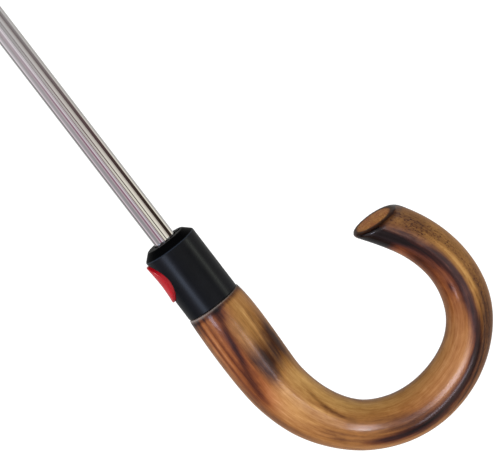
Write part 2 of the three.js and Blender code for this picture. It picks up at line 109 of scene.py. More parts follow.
def grid_faces(nu, nv, wrap_u=False, wrap_v=False, base=0):
    """Quads of a grid of nu rows by nv columns."""
    f = []
    for i in range(nu if wrap_u else nu - 1):
        a, b = i * nv, ((i + 1) % nu) * nv
        for j in range(nv if wrap_v else nv - 1):
            k = (j + 1) % nv
            f.append((base + a + j, base + a + k, base + b + k, base + b + j))
    return f


def fillet(points, closed=False, n=5):
    """Rounds a polyline's corners. Each point is (x, y) or (x, y, radius)."""
    pts = [np.array(p[:2], float) for p in points]
    rad = [p[2] if len(p) > 2 else 0.0 for p in points]
    out = []
    m = len(pts)
    for i in range(m):
        if rad[i] <= 0 or (not closed and i in (0, m - 1)):
            out.append(pts[i])
            continue
        a, b, c = pts[i - 1], pts[i], pts[(i + 1) % m]
        u, v = a - b, c - b
        lu, lv = np.linalg.norm(u), np.linalg.norm(v)
        u, v = u / lu, v / lv
        angle = math.acos(max(-1, min(1, float(u @ v))))
        if angle > math.pi - 0.02:
            out.append(b)
            continue
        t = min(rad[i] / math.tan(angle / 2), 0.48 * lu, 0.48 * lv)
        r = t * math.tan(angle / 2)
        centre = b + (u + v) / np.linalg.norm(u + v) * (r / math.sin(angle / 2))
        p0, p1 = b + u * t - centre, b + v * t - centre
        sweep = math.pi - angle
        for k in range(n + 1):
            w = k / n
            q = (math.sin((1 - w) * sweep) * p0 + math.sin(w * sweep) * p1) / math.sin(sweep)
            out.append(centre + q)
    return out


def lathe(name, profile, seg=64, closed=False, sharp=35.0, radius_of=None):
    """Turns a profile of (r, z) round +Z. An open profile starts and ends on the axis."""
    prof = [tuple(p) for p in profile]
    verts, rows = [], []
    ang = np.arange(seg) / seg * 2 * math.pi
    for r, z in prof:
        if r < 1e-6:
            rows.append([len(verts)])
            verts.append((0, 0, z))
            continue
        rows.append(list(range(len(verts), len(verts) + seg)))
        rr = r if radius_of is None else radius_of(r, z, ang)
        verts += list(zip(np.cos(ang) * rr, np.sin(ang) * rr, np.full(seg, z)))
    faces = []
    pairs = list(zip(rows, rows[1:])) + ([(rows[-1], rows[0])] if closed else [])
    for a, b in pairs:
        for j in range(seg):
            k = (j + 1) % seg
            if len(a) == 1 and len(b) == 1:
                continue
            if len(a) == 1:
                faces.append((a[0], b[j], b[k]))
            elif len(b) == 1:
                faces.append((a[j], a[k], b[0]))
            else:
                faces.append((a[j], a[k], b[k], b[j]))
    return mesh_object(name, verts, faces, sharp)


def coil(name, radius, z0, z1, turns, wire, per_turn=16, sides=6, axis="z", centre=(0, 0, 0), ends=1.0):
    """A compression spring with closed ends."""
    n = int(turns * per_turn) + 1
    w = np.linspace(0, 1, n)
    a = w * turns * 2 * math.pi
    edge = ends / turns
    rise = np.interp(w, [0, edge, 1 - edge, 1], [0, wire * 2.2 * ends, (z1 - z0) - wire * 2.2 * ends, z1 - z0])
    c = np.stack([radius * np.cos(a), radius * np.sin(a), z0 + rise], 1)
    radial = np.stack([np.cos(a), np.sin(a), np.zeros(n)], 1)
    rings = []
    for k in range(sides):
        t = k / sides * 2 * math.pi
        rings.append(c + radial * wire * math.cos(t) + np.array([0, 0, 1.0]) * wire * math.sin(t))
    verts = np.stack(rings, 1).reshape(-1, 3)
    faces = grid_faces(n, sides, wrap_v=True)
    faces.append(tuple(range(sides)))
    faces.append(tuple(range((n - 1) * sides, n * sides)))
    if axis == "x":
        verts = verts[:, [2, 0, 1]]
    verts = verts + np.array(centre, float)
    return mesh_object(name, verts, faces)


def boolean(ob, cutters, mode="DIFFERENCE"):
    """Applies exact booleans and removes the cutters."""
    for c in cutters:
        m = ob.modifiers.new("cut", "BOOLEAN")
        m.operation, m.object, m.solver = mode, c, "EXACT"
    dg = bpy.context.evaluated_depsgraph_get()
    me = bpy.data.meshes.new_from_object(ob.evaluated_get(dg))
    ob.modifiers.clear()
    ob.data = me
    for c in cutters:
        bpy.data.objects.remove(c)
    return ob


def finish_cut(ob, bevel=0.0, angle=35.0, segments=2):
    """Rounds the edges of a cut solid and shades it."""
    bm = bmesh.new()
    bm.from_mesh(ob.data)
    bmesh.ops.remove_doubles(bm, verts=bm.verts, dist=2e-6)
    bmesh.ops.dissolve_limit(bm, angle_limit=math.radians(0.5), verts=bm.verts, edges=bm.edges)
    bm.to_mesh(ob.data)
    bm.free()
    if bevel > 0:
        m = ob.modifiers.new("round", "BEVEL")
        m.width, m.segments, m.limit_method, m.angle_limit = bevel * MM, segments, "ANGLE", math.radians(angle)
        m.use_clamp_overlap = True
        dg = bpy.context.evaluated_depsgraph_get()
        me = bpy.data.meshes.new_from_object(ob.evaluated_get(dg))
        ob.modifiers.clear()
        ob.data = me
    ob.data.shade_smooth()
    ob.data.set_sharp_from_angle(angle=math.radians(angle))
    return ob


def block(name, x0, x1, y0, y1, z0, z1, turn=0.0):
    """A plain cutter."""
    v = np.array([(x, y, z) for x in (x0, x1) for y in (y0, y1) for z in (z0, z1)], float)
    c, s = math.cos(turn), math.sin(turn)
    v = np.stack([v[:, 0] * c - v[:, 1] * s, v[:, 0] * s + v[:, 1] * c, v[:, 2]], 1)
    return mesh_object(name, v, [(0, 1, 3, 2), (4, 6, 7, 5), (0, 4, 5, 1), (2, 3, 7, 6), (0, 2, 6, 4), (1, 5, 7, 3)], sharp=0)


def fluted(angle, clear=0.0):
    return SHAFT_R + clear - FLUTE_DEPTH * (0.5 + 0.5 * np.cos(FLUTES * angle))


# ------------------------------------------------------------------ node helpers
class Mat:
    def __init__(self, name):
        self.m = bpy.data.materials.new(name)
        self.m.use_nodes = True
        self.t = self.m.node_tree
        self.t.nodes.clear()
        self.out = self.t.nodes.new("ShaderNodeOutputMaterial")
        self.b = self.t.nodes.new("ShaderNodeBsdfPrincipled")
        self.t.links.new(self.b.outputs[0], self.out.inputs[0])

    def node(self, kind, **kw):
        n = self.t.nodes.new(kind)
        for k, v in kw.items():
            setattr(n, k, v)
        return n

    def link(self, a, b):
        self.t.links.new(a, b)

    def put(self, socket, value):
        if isinstance(value, bpy.types.NodeSocket):
            self.link(value, socket)
        else:
            socket.default_value = value

    def math(self, op, a, b=0.0, c=0.0, clamp=False):
        n = self.node("ShaderNodeMath", operation=op, use_clamp=clamp)
        for s, v in zip(n.inputs, (a, b, c)):
            self.put(s, v)
        return n.outputs[0]

    def coords(self):
        return self.node("ShaderNodeTexCoord").outputs["Object"]

    def attr(self, name, vector=False):
        n = self.node("ShaderNodeAttribute", attribute_name=name, attribute_type="GEOMETRY")
        return n.outputs["Vector" if vector else "Fac"]

    def scaled(self, vec, scale, offset=(0, 0, 0)):
        n = self.node("ShaderNodeMapping")
        self.link(vec, n.inputs["Vector"])
        n.inputs["Scale"].default_value = scale
        n.inputs["Location"].default_value = offset
        return n.outputs[0]

    def noise(self, vec, scale=1.0, detail=3.0, rough=0.55, distort=0.0):
        n = self.node("ShaderNodeTexNoise")
        self.link(vec, n.inputs["Vector"])
        n.inputs["Scale"].default_value = scale
        n.inputs["Detail"].default_value = detail
        n.inputs["Roughness"].default_value = rough
        n.inputs["Distortion"].default_value = distort
        return n.outputs["Fac"]

    def ramp(self, fac, stops, interp="LINEAR"):
        n = self.node("ShaderNodeValToRGB")
        n.color_ramp.interpolation = interp
        els = n.color_ramp.elements
        while len(els) < len(stops):
            els.new(0.5)
        for e, (p, c) in zip(els, stops):
            e.position = p
            e.color = (*c, 1.0) if len(c) == 3 else c
        self.link(fac, n.inputs[0])
        return n.outputs[0]

    def maprange(self, v, a, b, c, d):
        n = self.node("ShaderNodeMapRange")
        n.clamp = True
        self.link(v, n.inputs["Value"])
        for k, x in zip(("From Min", "From Max", "To Min", "To Max"), (a, b, c, d)):
            n.inputs[k].default_value = x
        return n.outputs[0]

    def mix(self, fac, a, b, blend="MIX"):
        n = self.node("ShaderNodeMix", data_type="RGBA", blend_type=blend)
        self.put(n.inputs["Factor"], fac)
        self.put(n.inputs[6], a if isinstance(a, bpy.types.NodeSocket) else (*a, 1.0))
        self.put(n.inputs[7], b if isinstance(b, bpy.types.NodeSocket) else (*b, 1.0))
        return n.outputs[2]

    def bump(self, height, distance, strength=1.0, under=None):
        n = self.node("ShaderNodeBump")
        self.link(height, n.inputs["Height"])
        n.inputs["Distance"].default_value = distance
        n.inputs["Strength"].default_value = strength
        if under is not None:
            self.link(under, n.inputs["Normal"])
        return n.outputs[0]

    def set(self, **kw):
        for k, v in kw.items():
            self.put(self.b.inputs[k.replace("_", " ")], v)
        return self.m


def srgb(r, g, b):
    return tuple(((x / 255 + 0.055) / 1.055) ** 2.4 if x > 10 else x / 255 / 12.92 for x in (r, g, b))


# ------------------------------------------------------------------ materials
def make_wood():
    k = Mat("scorched_lacquered_wood")
    g = k.attr("grain", vector=True)          # straightened wood: across, across, along, in centimetres
    tone, red, painted_violet_sheen, speck, endf, gloss, edge = (k.attr(n) for n in ("tone", "red", "painted_violet_sheen", "speck", "endface", "gloss", "edge"))
    # slow waver of the fibres
    broad = k.noise(k.scaled(g, (1.3, 1.3, 0.32), (3, 1, 0)), 1.0, 3, 0.5, 0.4)
    fibre = k.noise(k.scaled(g, (9, 9, 0.55)), 1.0, 5, 0.62, 0.35)
    fine = k.noise(k.scaled(g, (30, 30, 1.6), (0, 5, 2)), 1.0, 3, 0.6, 0.2)
    cloud = k.noise(k.scaled(g, (2.6, 2.6, 1.7), (7, 0, 1)), 1.0, 4, 0.6, 0.6)
    pore = k.noise(k.scaled(g, (46, 46, 7)), 1.0, 2, 0.5)
    pore = k.maprange(pore, 0.60, 0.72, 0.0, 1.0)
    t = k.math("MULTIPLY_ADD", k.math("SUBTRACT", fibre, 0.5), 0.42, tone)
    t = k.math("MULTIPLY_ADD", k.math("SUBTRACT", broad, 0.5), 0.26, t)
    t = k.math("MULTIPLY_ADD", k.math("SUBTRACT", fine, 0.5), 0.20, t)
    t = k.math("MULTIPLY_ADD", k.math("SUBTRACT", cloud, 0.5), 0.22, t)
    t = k.math("MULTIPLY_ADD", pore, 0.055, t)
    # speckles of open pores where the wood is worn through its stain
    dots = k.noise(k.scaled(g, (17, 17, 9), (1, 2, 3)), 1.0, 3, 0.65, 0.3)
    dots = k.maprange(dots, 0.52, 0.66, 0.0, 1.0)
    t = k.math("MULTIPLY_ADD", k.math("MULTIPLY", dots, speck), 0.30, t, clamp=True)
    gold = k.ramp(t, [(0.00, srgb(214, 176, 114)), (0.22, srgb(184, 141, 80)), (0.42, srgb(150, 106, 54)),
                      (0.62, srgb(108, 70, 33)), (0.80, srgb(62, 34, 17)), (1.00, srgb(20, 9, 6))])
    rose = k.ramp(t, [(0.00, srgb(204, 150, 108)), (0.22, srgb(172, 112, 70)), (0.42, srgb(140, 80, 42)),
                      (0.62, srgb(96, 48, 26)), (0.80, srgb(52, 22, 16)), (1.00, srgb(18, 8, 8))])
    col = k.mix(red, gold, rose)
    # painted reflection: a violet-grey sheen mixed into the wood, standing in for the reflection of the bluish lamps
    painted_sheen_colour = k.mix(0.35, col, srgb(92, 66, 70))
    col = k.mix(painted_violet_sheen, col, painted_sheen_colour)
    # end grain: short rays across the flat end
    rays = k.noise(k.scaled(g, (34, 5, 34), (2, 0, 0)), 1.0, 4, 0.6, 0.3)
    endc = k.ramp(rays, [(0.30, srgb(150, 88, 34)), (0.50, srgb(200, 130, 58)), (0.70, srgb(236, 178, 102))])
    endc = k.mix(k.maprange(k.noise(k.scaled(g, (2.2, 2.2, 2.2), (5, 3, 0)), 1.0, 2, 0.5), 0.42, 0.62, 0.0, 0.55), endc, srgb(164, 78, 40))
    dark = k.maprange(tone, 0.45, 0.95, 0.0, 1.0)
    endc = k.mix(dark, endc, srgb(44, 24, 16))
    col = k.mix(endf, col, endc)
    # painted highlight: a pale line at the joint with the collar, where the rounded edge of the wood catches the light
    col = k.mix(k.math("MULTIPLY", edge, k.maprange(cloud, 0.3, 0.7, 0.55, 0.95)), col, srgb(176, 168, 162))
    height = k.math("ADD", k.math("MULTIPLY", fibre, 0.6), k.math("MULTIPLY", fine, 0.4))
    n = k.bump(height, 0.00004, 0.35)
    rough = k.maprange(cloud, 0.3, 0.7, 0.34, 0.48)
    k.set(Base_Color=col, Roughness=rough, Normal=n)
    b = k.b.inputs
    b["Specular IOR Level"].default_value = 0.05
    k.link(k.math("MULTIPLY", gloss, 0.36, clamp=True), b["Coat Weight"])
    b["Coat Roughness"].default_value = 0.17
    b["Coat IOR"].default_value = 1.5
    # the lacquer itself is not quite level
    lac = k.noise(k.scaled(g, (3.2, 3.2, 1.1), (0, 9, 4)), 1.0, 2, 0.5)
    k.link(k.bump(lac, 0.00006, 0.12), b["Coat Normal"])
    return k.m


def make_black(name, base, rough, grain=900.0, mould=0.00002, coat=0.0):
    k = Mat(name)
    c = k.coords()
    patch = k.noise(c, 60.0, 4, 0.6)
    fine = k.noise(c, grain, 3, 0.6)
    hi = tuple(min(1.0, x * 1.7 + 0.002) for x in base)
    col = k.ramp(patch, [(0.3, base), (0.7, hi)])
    r = k.maprange(k.noise(c, 140.0, 4, 0.6), 0.3, 0.7, rough - 0.05, rough + 0.06)
    k.set(Base_Color=col, Roughness=r, Normal=k.bump(fine, mould, 0.5))
    if coat:
        k.b.inputs["Coat Weight"].default_value = coat
        k.b.inputs["Coat Roughness"].default_value = 0.08
    return k.m


def make_collar():
    k = Mat("satin_black_collar")
    c = k.coords()
    # slight sheen streaks left by turning in the mould, along the axis
    streak = k.noise(k.scaled(c, (420, 420, 26)), 1.0, 4, 0.6)
    fine = k.noise(c, 1300.0, 3, 0.55)
    patch = k.noise(c, 70.0, 3, 0.6)
    col = k.ramp(patch, [(0.3, srgb(12, 13, 16)), (0.7, srgb(18, 19, 23))])
    r = k.math("ADD", k.maprange(streak, 0.3, 0.7, 0.26, 0.34), k.maprange(patch, 0.3, 0.7, 0.0, 0.05))
    painted_chamfer_highlight, top = k.attr("painted_chamfer_highlight"), k.attr("top")
    # painted highlight: a blue-grey line on the lower edge of the chamfer at the top
    col = k.mix(k.math("MULTIPLY", painted_chamfer_highlight, 0.5), col, srgb(52, 60, 72))
    # painted shade: the top face and the inner surfaces are coloured darker than the sides and reflect less, standing
    # in for the dark above them
    col = k.mix(top, col, srgb(8, 8, 9))
    k.set(Base_Color=col, Roughness=r, Normal=k.bump(fine, 0.000012, 0.4))
    k.link(k.maprange(top, 0.0, 1.0, 0.12, 0.015), k.b.inputs["Specular IOR Level"])
    return k.m


def make_red():
    k = Mat("gloss_red_button")
    c = k.coords()
    cloud = k.noise(c, 160.0, 4, 0.6)
    scuff = k.noise(k.scaled(c, (300, 900, 300)), 1.0, 4, 0.7)
    col = k.ramp(cloud, [(0.3, srgb(150, 6, 20)), (0.7, srgb(168, 10, 26))])
    r = k.maprange(scuff, 0.35, 0.75, 0.30, 0.38)
    k.set(Base_Color=col, Roughness=r, Normal=k.bump(cloud, 0.00002, 0.15))
    k.b.inputs["Specular IOR Level"].default_value = 0.2
    k.b.inputs["Coat Weight"].default_value = 0.3
    k.b.inputs["Coat Roughness"].default_value = 0.22
    k.b.inputs["Subsurface Weight"].default_value = 0.08
    k.b.inputs["Subsurface Radius"].default_value = (0.002, 0.0004, 0.0003)
    return k.m


def make_shaft():
    k = Mat("polished_fluted_steel")
    c = k.coords()
    groove = k.attr("groove")
    draw = k.noise(k.scaled(c, (900, 900, 6)), 1.0, 3, 0.5)      # drawing marks along the tube
    smear = k.noise(k.scaled(c, (90, 90, 14)), 1.0, 4, 0.6, 0.3)
    col = k.ramp(smear, [(0.3, srgb(222, 221, 220)), (0.7, srgb(240, 239, 238))])
    # painted shade: the flutes are darkened towards a maroon grey, standing in for the dark reflections that lie in
    # them
    painted_flute_shade = k.math("MULTIPLY", groove, k.maprange(smear, 0.25, 0.75, 0.35, 0.75))
    col = k.mix(painted_flute_shade, col, srgb(122, 104, 104))
    r = k.math("ADD", k.maprange(draw, 0.3, 0.7, 0.03, 0.07), k.math("MULTIPLY", groove, 0.04))
    k.set(Base_Color=col, Roughness=r, Normal=k.bump(draw, 0.000002, 0.12))
    k.b.inputs["Metallic"].default_value = 1.0
    return k.m


def make_metal(name, lo, hi, r0, r1, scale=(400, 400, 400), bump=0.00001):
    k = Mat(name)
    c = k.coords()
    a = k.noise(k.scaled(c, scale), 1.0, 4, 0.6)
    b = k.noise(c, 90.0, 4, 0.6, 0.2)
    col = k.ramp(b, [(0.3, lo), (0.7, hi)])
    k.set(Base_Color=col, Roughness=k.maprange(a, 0.3, 0.7, r0, r1), Normal=k.bump(a, bump, 0.4))
    k.b.inputs["Metallic"].default_value = 1.0
    return k.m


def make_rib_fibre():
    k = Mat("black_fibreglass_rod")
    c = k.coords()
    strand = k.noise(c, 700.0, 4, 0.65, 0.2)
    patch = k.noise(c, 40.0, 3, 0.6)
    col = k.ramp(patch, [(0.3, srgb(18, 18, 20)), (0.7, srgb(32, 32, 34))])
    k.set(Base_Color=col, Roughness=k.maprange(strand, 0.3, 0.7, 0.30, 0.46), Normal=k.bump(strand, 0.00003, 0.4))
    return k.m


def make_cloth():
    k = Mat("black_woven_cloth")
    w = k.attr("weave", vector=True)       # across and along the gore, in millimetres, and distance from the seam
    sep = k.node("ShaderNodeSeparateXYZ")
    k.link(w, sep.inputs[0])
    across, along, seam = sep.outputs
    # plain weave, 0.35 mm between threads
    fx = k.math("SINE", k.math("MULTIPLY", across, 2 * math.pi / 0.7))
    fy = k.math("SINE", k.math("MULTIPLY", along, 2 * math.pi / 0.7))
    thread = k.math("MULTIPLY_ADD", k.math("MULTIPLY", fx, fy), 0.5, 0.5)
    slub = k.noise(k.scaled(w, (0.9, 0.05, 0.0)), 1.0, 3, 0.6)
    slub2 = k.noise(k.scaled(w, (0.05, 0.9, 0.0)), 1.0, 3, 0.6)
    crease = k.noise(k.scaled(k.coords(), (26, 26, 26)), 1.0, 4, 0.6, 0.6)
    base = k.ramp(crease, [(0.3, srgb(16, 17, 20)), (0.7, srgb(27, 28, 32))])
    base = k.mix(k.maprange(k.math("ADD", slub, slub2), 0.8, 1.2, 0.0, 0.35), base, srgb(40, 41, 46))
    # double row of stitches beside each seam, and one row on the hem
    d1 = k.math("ABSOLUTE", k.math("SUBTRACT", k.math("ABSOLUTE", across), 2.3))
    row = k.maprange(d1, 0.12, 0.34, 1.0, 0.0)
    dash = k.maprange(k.math("SINE", k.math("MULTIPLY", along, 2 * math.pi / 2.6)), -0.3, 0.1, 0.0, 1.0)
    d2 = k.math("ABSOLUTE", k.math("SUBTRACT", seam, 5.0))
    row2 = k.maprange(d2, 0.15, 0.4, 1.0, 0.0)
    dash2 = k.maprange(k.math("SINE", k.math("MULTIPLY", across, 2 * math.pi / 2.6)), -0.3, 0.1, 0.0, 1.0)
    stitch = k.math("MAXIMUM", k.math("MULTIPLY", row, dash), k.math("MULTIPLY", row2, dash2))
    base = k.mix(k.math("MULTIPLY", stitch, 0.8), base, srgb(62, 63, 70))
    h = k.math("MULTIPLY_ADD", thread, 0.5, k.math("MULTIPLY", stitch, 1.2))
    n = k.bump(h, 0.00010, 0.5)
    n = k.bump(crease, 0.0009, 0.35, under=n)
    k.set(Base_Color=base, Roughness=k.maprange(thread, 0.0, 1.0, 0.62, 0.80), Normal=n)
    k.b.inputs["Sheen Weight"].default_value = 0.28
    k.b.inputs["Sheen Roughness"].default_value = 0.35
    k.b.inputs["Sheen Tint"].default_value = (0.62, 0.66, 0.78, 1.0)
    k.b.inputs["Specular IOR Level"].default_value = 0.35
    return k.m


WOOD = make_wood()
COLLAR = make_collar()
RED = make_red()
SHAFT = make_shaft()
STEEL = make_metal("zinc_steel", srgb(150, 152, 156), srgb(196, 198, 200), 0.22, 0.42)
WIRE = make_metal("spring_wire", srgb(112, 112, 118), srgb(172, 172, 178), 0.20, 0.36)
BRIGHT = make_metal("polished_metal", srgb(206, 205, 202), srgb(230, 229, 226), 0.06, 0.16, (220, 220, 900))
RIBSTEEL = make_metal("black_nickel_steel", srgb(58, 58, 62), srgb(96, 96, 102), 0.24, 0.40, (700, 700, 700), 0.00002)
FIBRE = make_rib_fibre()
PLASTIC = make_black("moulded_black_plastic", srgb(16, 17, 19), 0.40, 800.0, 0.00003)
RUBBER = make_black("black_rubber", srgb(20, 20, 21), 0.66, 500.0, 0.00006)
SNAP = make_metal("black_press_stud", srgb(34, 34, 38), srgb(62, 62, 68), 0.24, 0.38)
CLOTH = make_cloth()


def dress(ob, material):
    ob.data.materials.clear()
    ob.data.materials.append(material)
    return ob


# ------------------------------------------------------------------ crook
CROOK = np.array([
    [0.0, 0.0, 12.8], [0.2, -2.2, 13.11], [0.3, -8.1, 13.42], [0.2, -15.8, 13.69],
    [0.0, -25.6, 13.58], [-0.1, -35.2, 13.33], [0.1, -44.3, 12.92], [1.7, -52.9, 12.55],
    [4.1, -60.8, 12.14], [7.8, -68.2, 11.62], [12.7, -75.1, 11.15], [18.8, -81.1, 10.87],
    [26.1, -85.5, 10.82], [33.9, -88.5, 10.88], [41.8, -89.9, 10.92], [49.7, -89.9, 10.87],
    [57.8, -88.5, 10.66], [65.7, -85.8, 10.43], [73.1, -81.7, 10.22], [79.5, -76.2, 10.09],
    [84.4, -69.8, 10.07], [87.5, -62.7, 10.04], [89.2, -54.8, 9.91], [89.4, -46.4, 9.72],
    [87.9, -37.7, 9.64], [84.9, -29.2, 9.62], [80.7, -21.5, 9.65], [76.0, -14.4, 9.49],
    [71.0, -7.5, 9.3]])
END_Z, END_TILT = -13.4, math.radians(12)


def crook_line():
    """The centre line every 0.25 mm, smoothed: stations, points (x, z), radius, tangents."""
    d = np.r_[0, np.cumsum(np.hypot(*np.diff(CROOK[:, :2], axis=0).T))]
    s = np.arange(0, d[-1], 0.25)
    pad = 40

    def smooth(v, width):
        e0, e1 = v[1] - v[0], v[-1] - v[-2]
        p = np.r_[v[0] + e0 * np.arange(-pad, 0), v, v[-1] + e1 * np.arange(1, pad + 1)]
        x = np.arange(-pad, pad + 1) * 0.25
        ker = np.exp(-x ** 2 / (2 * width ** 2))
        return np.convolve(p, ker / ker.sum(), "valid")
    x = smooth(np.interp(s, d, CROOK[:, 0]), 3.0)
    z = smooth(np.interp(s, d, CROOK[:, 1]), 3.0)
    z[:16] = -s[:16]
    r = smooth(np.interp(s, d, CROOK[:, 2]), 3.5)
    t = np.stack([np.gradient(x, s), np.gradient(z, s)], 1)
    t /= np.linalg.norm(t, axis=1)[:, None]
    return s, x, z, r, t


def wood_stain(s, p):
    """Scorch marks, with painted reflections among them: s along the crook in mm, p the angle round it from the front
    in radians.
    """
    tone = np.full(s.shape, 0.44)
    red = np.full(s.shape, 0.32)
    painted_violet_sheen = np.zeros(s.shape)
    speck = np.zeros(s.shape)

    def blob(s0, v0, ds, dp, slope=0.0):
        p0 = math.asin(v0)
        return np.exp(-0.5 * ((s - s0) / ds) ** 2 - 0.5 * ((p - p0 - slope * (s - s0)) / dp) ** 2)

    def path(points, width):
        pts = np.array(points, float)
        p0 = np.arcsin(np.interp(s, pts[:, 0], pts[:, 1]))
        w = np.interp(s, width[0], width[1])
        fade = np.interp(s, [pts[0, 0] - 6, pts[0, 0] + 4, pts[-1, 0] - 4, pts[-1, 0] + 6], [0, 1, 1, 0])
        return p - p0, w, fade
    # among these marks two thin pale streaks are painted highlights: the one at (14, 0.55) on the shank and the one at
    # (63, 0.24) on the bend
    for s0, v0, ds, dp, a, sl in [
            (14, -0.70, 13, 0.045, -0.26, 0), (17, -0.86, 12, 0.05, -0.20, 0), (16, -0.52, 9, 0.04, -0.10, -0.004),
            (20, -0.33, 12, 0.07, 0.36, -0.0123), (22, -0.60, 13, 0.035, 0.22, 0), (12, -0.80, 12, 0.03, 0.16, 0),
            (40, -0.62, 6, 0.17, 0.24, 0), (14, 0.15, 7, 0.30, 0.14, 0), (15, 0.62, 13, 0.30, 0.10, 0), (3, -0.03, 3.2, 0.13, 0.24, 0), (4, -0.95, 3, 0.3, 0.2, 0),
            (15, 0.25, 9, 0.26, -0.20, 0), (14, 0.55, 9, 0.06, -0.14, 0), (7, 0.78, 6, 0.2, -0.1, 0),
            (33, 0.24, 5.5, 0.20, 0.20, 0), (28, -0.08, 5, 0.10, 0.10, 0), (31, 0.46, 5.0, 0.16, 0.14, 0), (28, 0.28, 7.0, 0.10, 0.12, 0), (39, 0.14, 3.5, 0.14, 0.12, 0), (27, 0.86, 8, 0.17, 0.36, 0),
            (31, 0.60, 6, 0.45, 0.15, 0), (41, -0.02, 4.0, 0.20, 0.08, 0), (33, 0.02, 6, 0.12, 0.12, 0), (28, 0.62, 5, 0.10, 0.14, 0),
            (51, -0.30, 8, 0.36, -0.23, 0), (50, 0.10, 7, 0.30, 0.07, 0), (46, 0.12, 5, 0.25, -0.12, 0), (66, -0.30, 9, 0.40, -0.05, 0), (66, 0.50, 12, 0.30, -0.06, 0),
            (52, -0.87, 15, 0.14, 0.22, 0), (62, 0.80, 24, 0.22, -0.08, 0), (46, 0.75, 7, 0.25, -0.12, 0),
            (65, 0.47, 7, 0.045, 0.26, -0.014), (72, 0.36, 5, 0.04, 0.16, -0.012), (63, 0.24, 4, 0.035, -0.20, 0),
            (77, -0.55, 2.6, 0.08, 0.26, 0), (71, -0.35, 4, 0.10, 0.16, 0), (80, -0.30, 6, 0.30, 0.05, 0),
            (88, -0.75, 12, 0.25, -0.06, 0), (104, -0.42, 11, 0.34, 0.14, 0), (109, -0.10, 9, 0.20, 0.20, 0), (98, 0.15, 12, 0.2, 0.08, 0),
            (108, 0.86, 38, 0.26, -0.18, 0), (120, 0.30, 14, 0.35, -0.10, 0), (136, 0.42, 14, 0.40, -0.14, 0),
            (150, -0.80, 15, 0.30, 0.24, 0), (162, -0.52, 11, 0.18, 0.18, 0), (178, -0.66, 20, 0.30, 0.12, 0), (203, -0.48, 7, 0.28, 0.16, 0), (158, -0.48, 7, 0.16, 0.08, 0), (130, -0.75, 12, 0.25, 0.10, 0), (128, -0.60, 12, 0.05, -0.10, 0.003),
            (158, 0.60, 12, 0.35, -0.04, 0), (176, 0.50, 1.8, 0.05, 0.26, 0), (190, 0.75, 16, 0.40, 0.14, 0),
            (198, 0.62, 8, 0.2, 0.12, 0), (170, 0.25, 8, 0.1, 0.10, 0.01),
            (180, -0.36, 12, 0.085, -0.32, 0.002), (160, -0.50, 9, 0.10, -0.16, 0.006), (168, -0.70, 18, 0.14, -0.06, 0),
            (188, -0.04, 9, 0.10, 0.30, 0.006), (176, -0.12, 7, 0.06, 0.16, 0.008), (172, -0.22, 10, 0.04, -0.12, 0.006),
            (200, -0.36, 6, 0.16, -0.08, 0), (209, 0.12, 5, 0.3, 0.20, 0), (198, 0.78, 8, 0.24, 0.12, 0),
            (219, 0.85, 5.5, 0.40, 0.90, 0), (221, 0.55, 5, 0.30, 0.5, 0), (206, 0.80, 4.5, 0.22, -0.12, 0)]:
        tone += a * blob(s0, v0, ds, dp, sl)
    # painted reflection: the long dark band that winds from the outside of the bend to its inside stands in for a dark
    # reflection of the room beside the lamp's highlight line, coloured as scorch
    d, w, fade = path([(90, -0.58), (100, -0.57), (110, -0.53), (120, -0.46), (130, -0.42), (140, -0.37),
                       (150, -0.27), (158, -0.13), (165, 0.0), (175, 0.11), (185, 0.21), (195, 0.30),
                       (205, 0.38), (216, 0.44)],
                      ([90, 110, 140, 155, 180, 205], [0.12, 0.17, 0.18, 0.15, 0.15, 0.17]))
    side = np.where(d < 0, 1.0, 0.85)
    dark_reflection_band = fade * np.exp(-0.5 * (d / (w * side)) ** 2)
    tone += dark_reflection_band * np.interp(s, [90, 105, 140, 165, 190, 210], [0.32, 0.42, 0.44, 0.40, 0.36, 0.42])
    red += 0.75 * dark_reflection_band
    # painted reflection: a lilac sheen along the inner side of the band, where the lamp's highlight line runs
    painted_violet_sheen += fade * np.interp(s, [140, 165, 205], [0.0, 0.20, 0.12]) * np.exp(-0.5 * ((d - 0.22) / 0.10) ** 2)
    # a thin dark line in the figure on the outside
    d, w, fade = path([(116, -0.86), (134, -0.74), (150, -0.60), (166, -0.42), (178, -0.26)], ([110, 180], [0.028, 0.022]))
    tone += 0.20 * fade * np.exp(-0.5 * (d / w) ** 2)
    d, w, fade = path([(96, -0.80), (120, -0.66), (140, -0.50), (160, -0.30)], ([90, 170], [0.02, 0.03]))
    tone += 0.10 * fade * np.exp(-0.5 * (d / w) ** 2)
    for s0, v0, ds, dp, a in [(18, -0.72, 22, 0.32, 0.75), (20, -0.30, 14, 0.14, 0.6), (41, -0.5, 7, 0.3, 0.5),
                              (3, 0.0, 4, 0.2, 0.6), (130, 0.45, 30, 0.5, 0.42), (188, 0.70, 22, 0.45, 0.6),
                              (15, 0.4, 12, 0.3, -0.3), (60, 0.7, 26, 0.35, -0.3), (178, -0.55, 24, 0.3, -0.3),
                              (96, 0.4, 12, 0.3, -0.1), (217, 0.85, 8, 0.4, 0.3), (207, 0.8, 5, 0.2, 0.4), (176, 0.5, 3, 0.1, 0.4)]:
        red += a * blob(s0, v0, ds, dp)
    # painted reflection: the violet sheen of the bluish lamps on the shank, on the front of the bend and by the end
    for s0, v0, ds, dp, a in [(12, -0.36, 9, 0.12, 0.55), (72, -0.15, 8, 0.3, 0.15), (126, -0.06, 13, 0.22, 0.5), (212, -0.65, 6, 0.4, 0.4)]:
        painted_violet_sheen += a * blob(s0, v0, ds, dp)
    for s0, v0, ds, dp, a in [(192, -0.66, 17, 0.22, 0.9), (206, -0.45, 8, 0.28, 1.1), (160, -0.75, 20, 0.2, 0.35)]:
        speck += a * blob(s0, v0, ds, dp)
    for s0, v0, ds, dp, a in [(190, -0.60, 26, 0.40, -0.35), (70, 0.8, 34, 0.3, -0.2)]:
        red += a * blob(s0, v0, ds, dp)
    return tone, red, painted_violet_sheen, speck


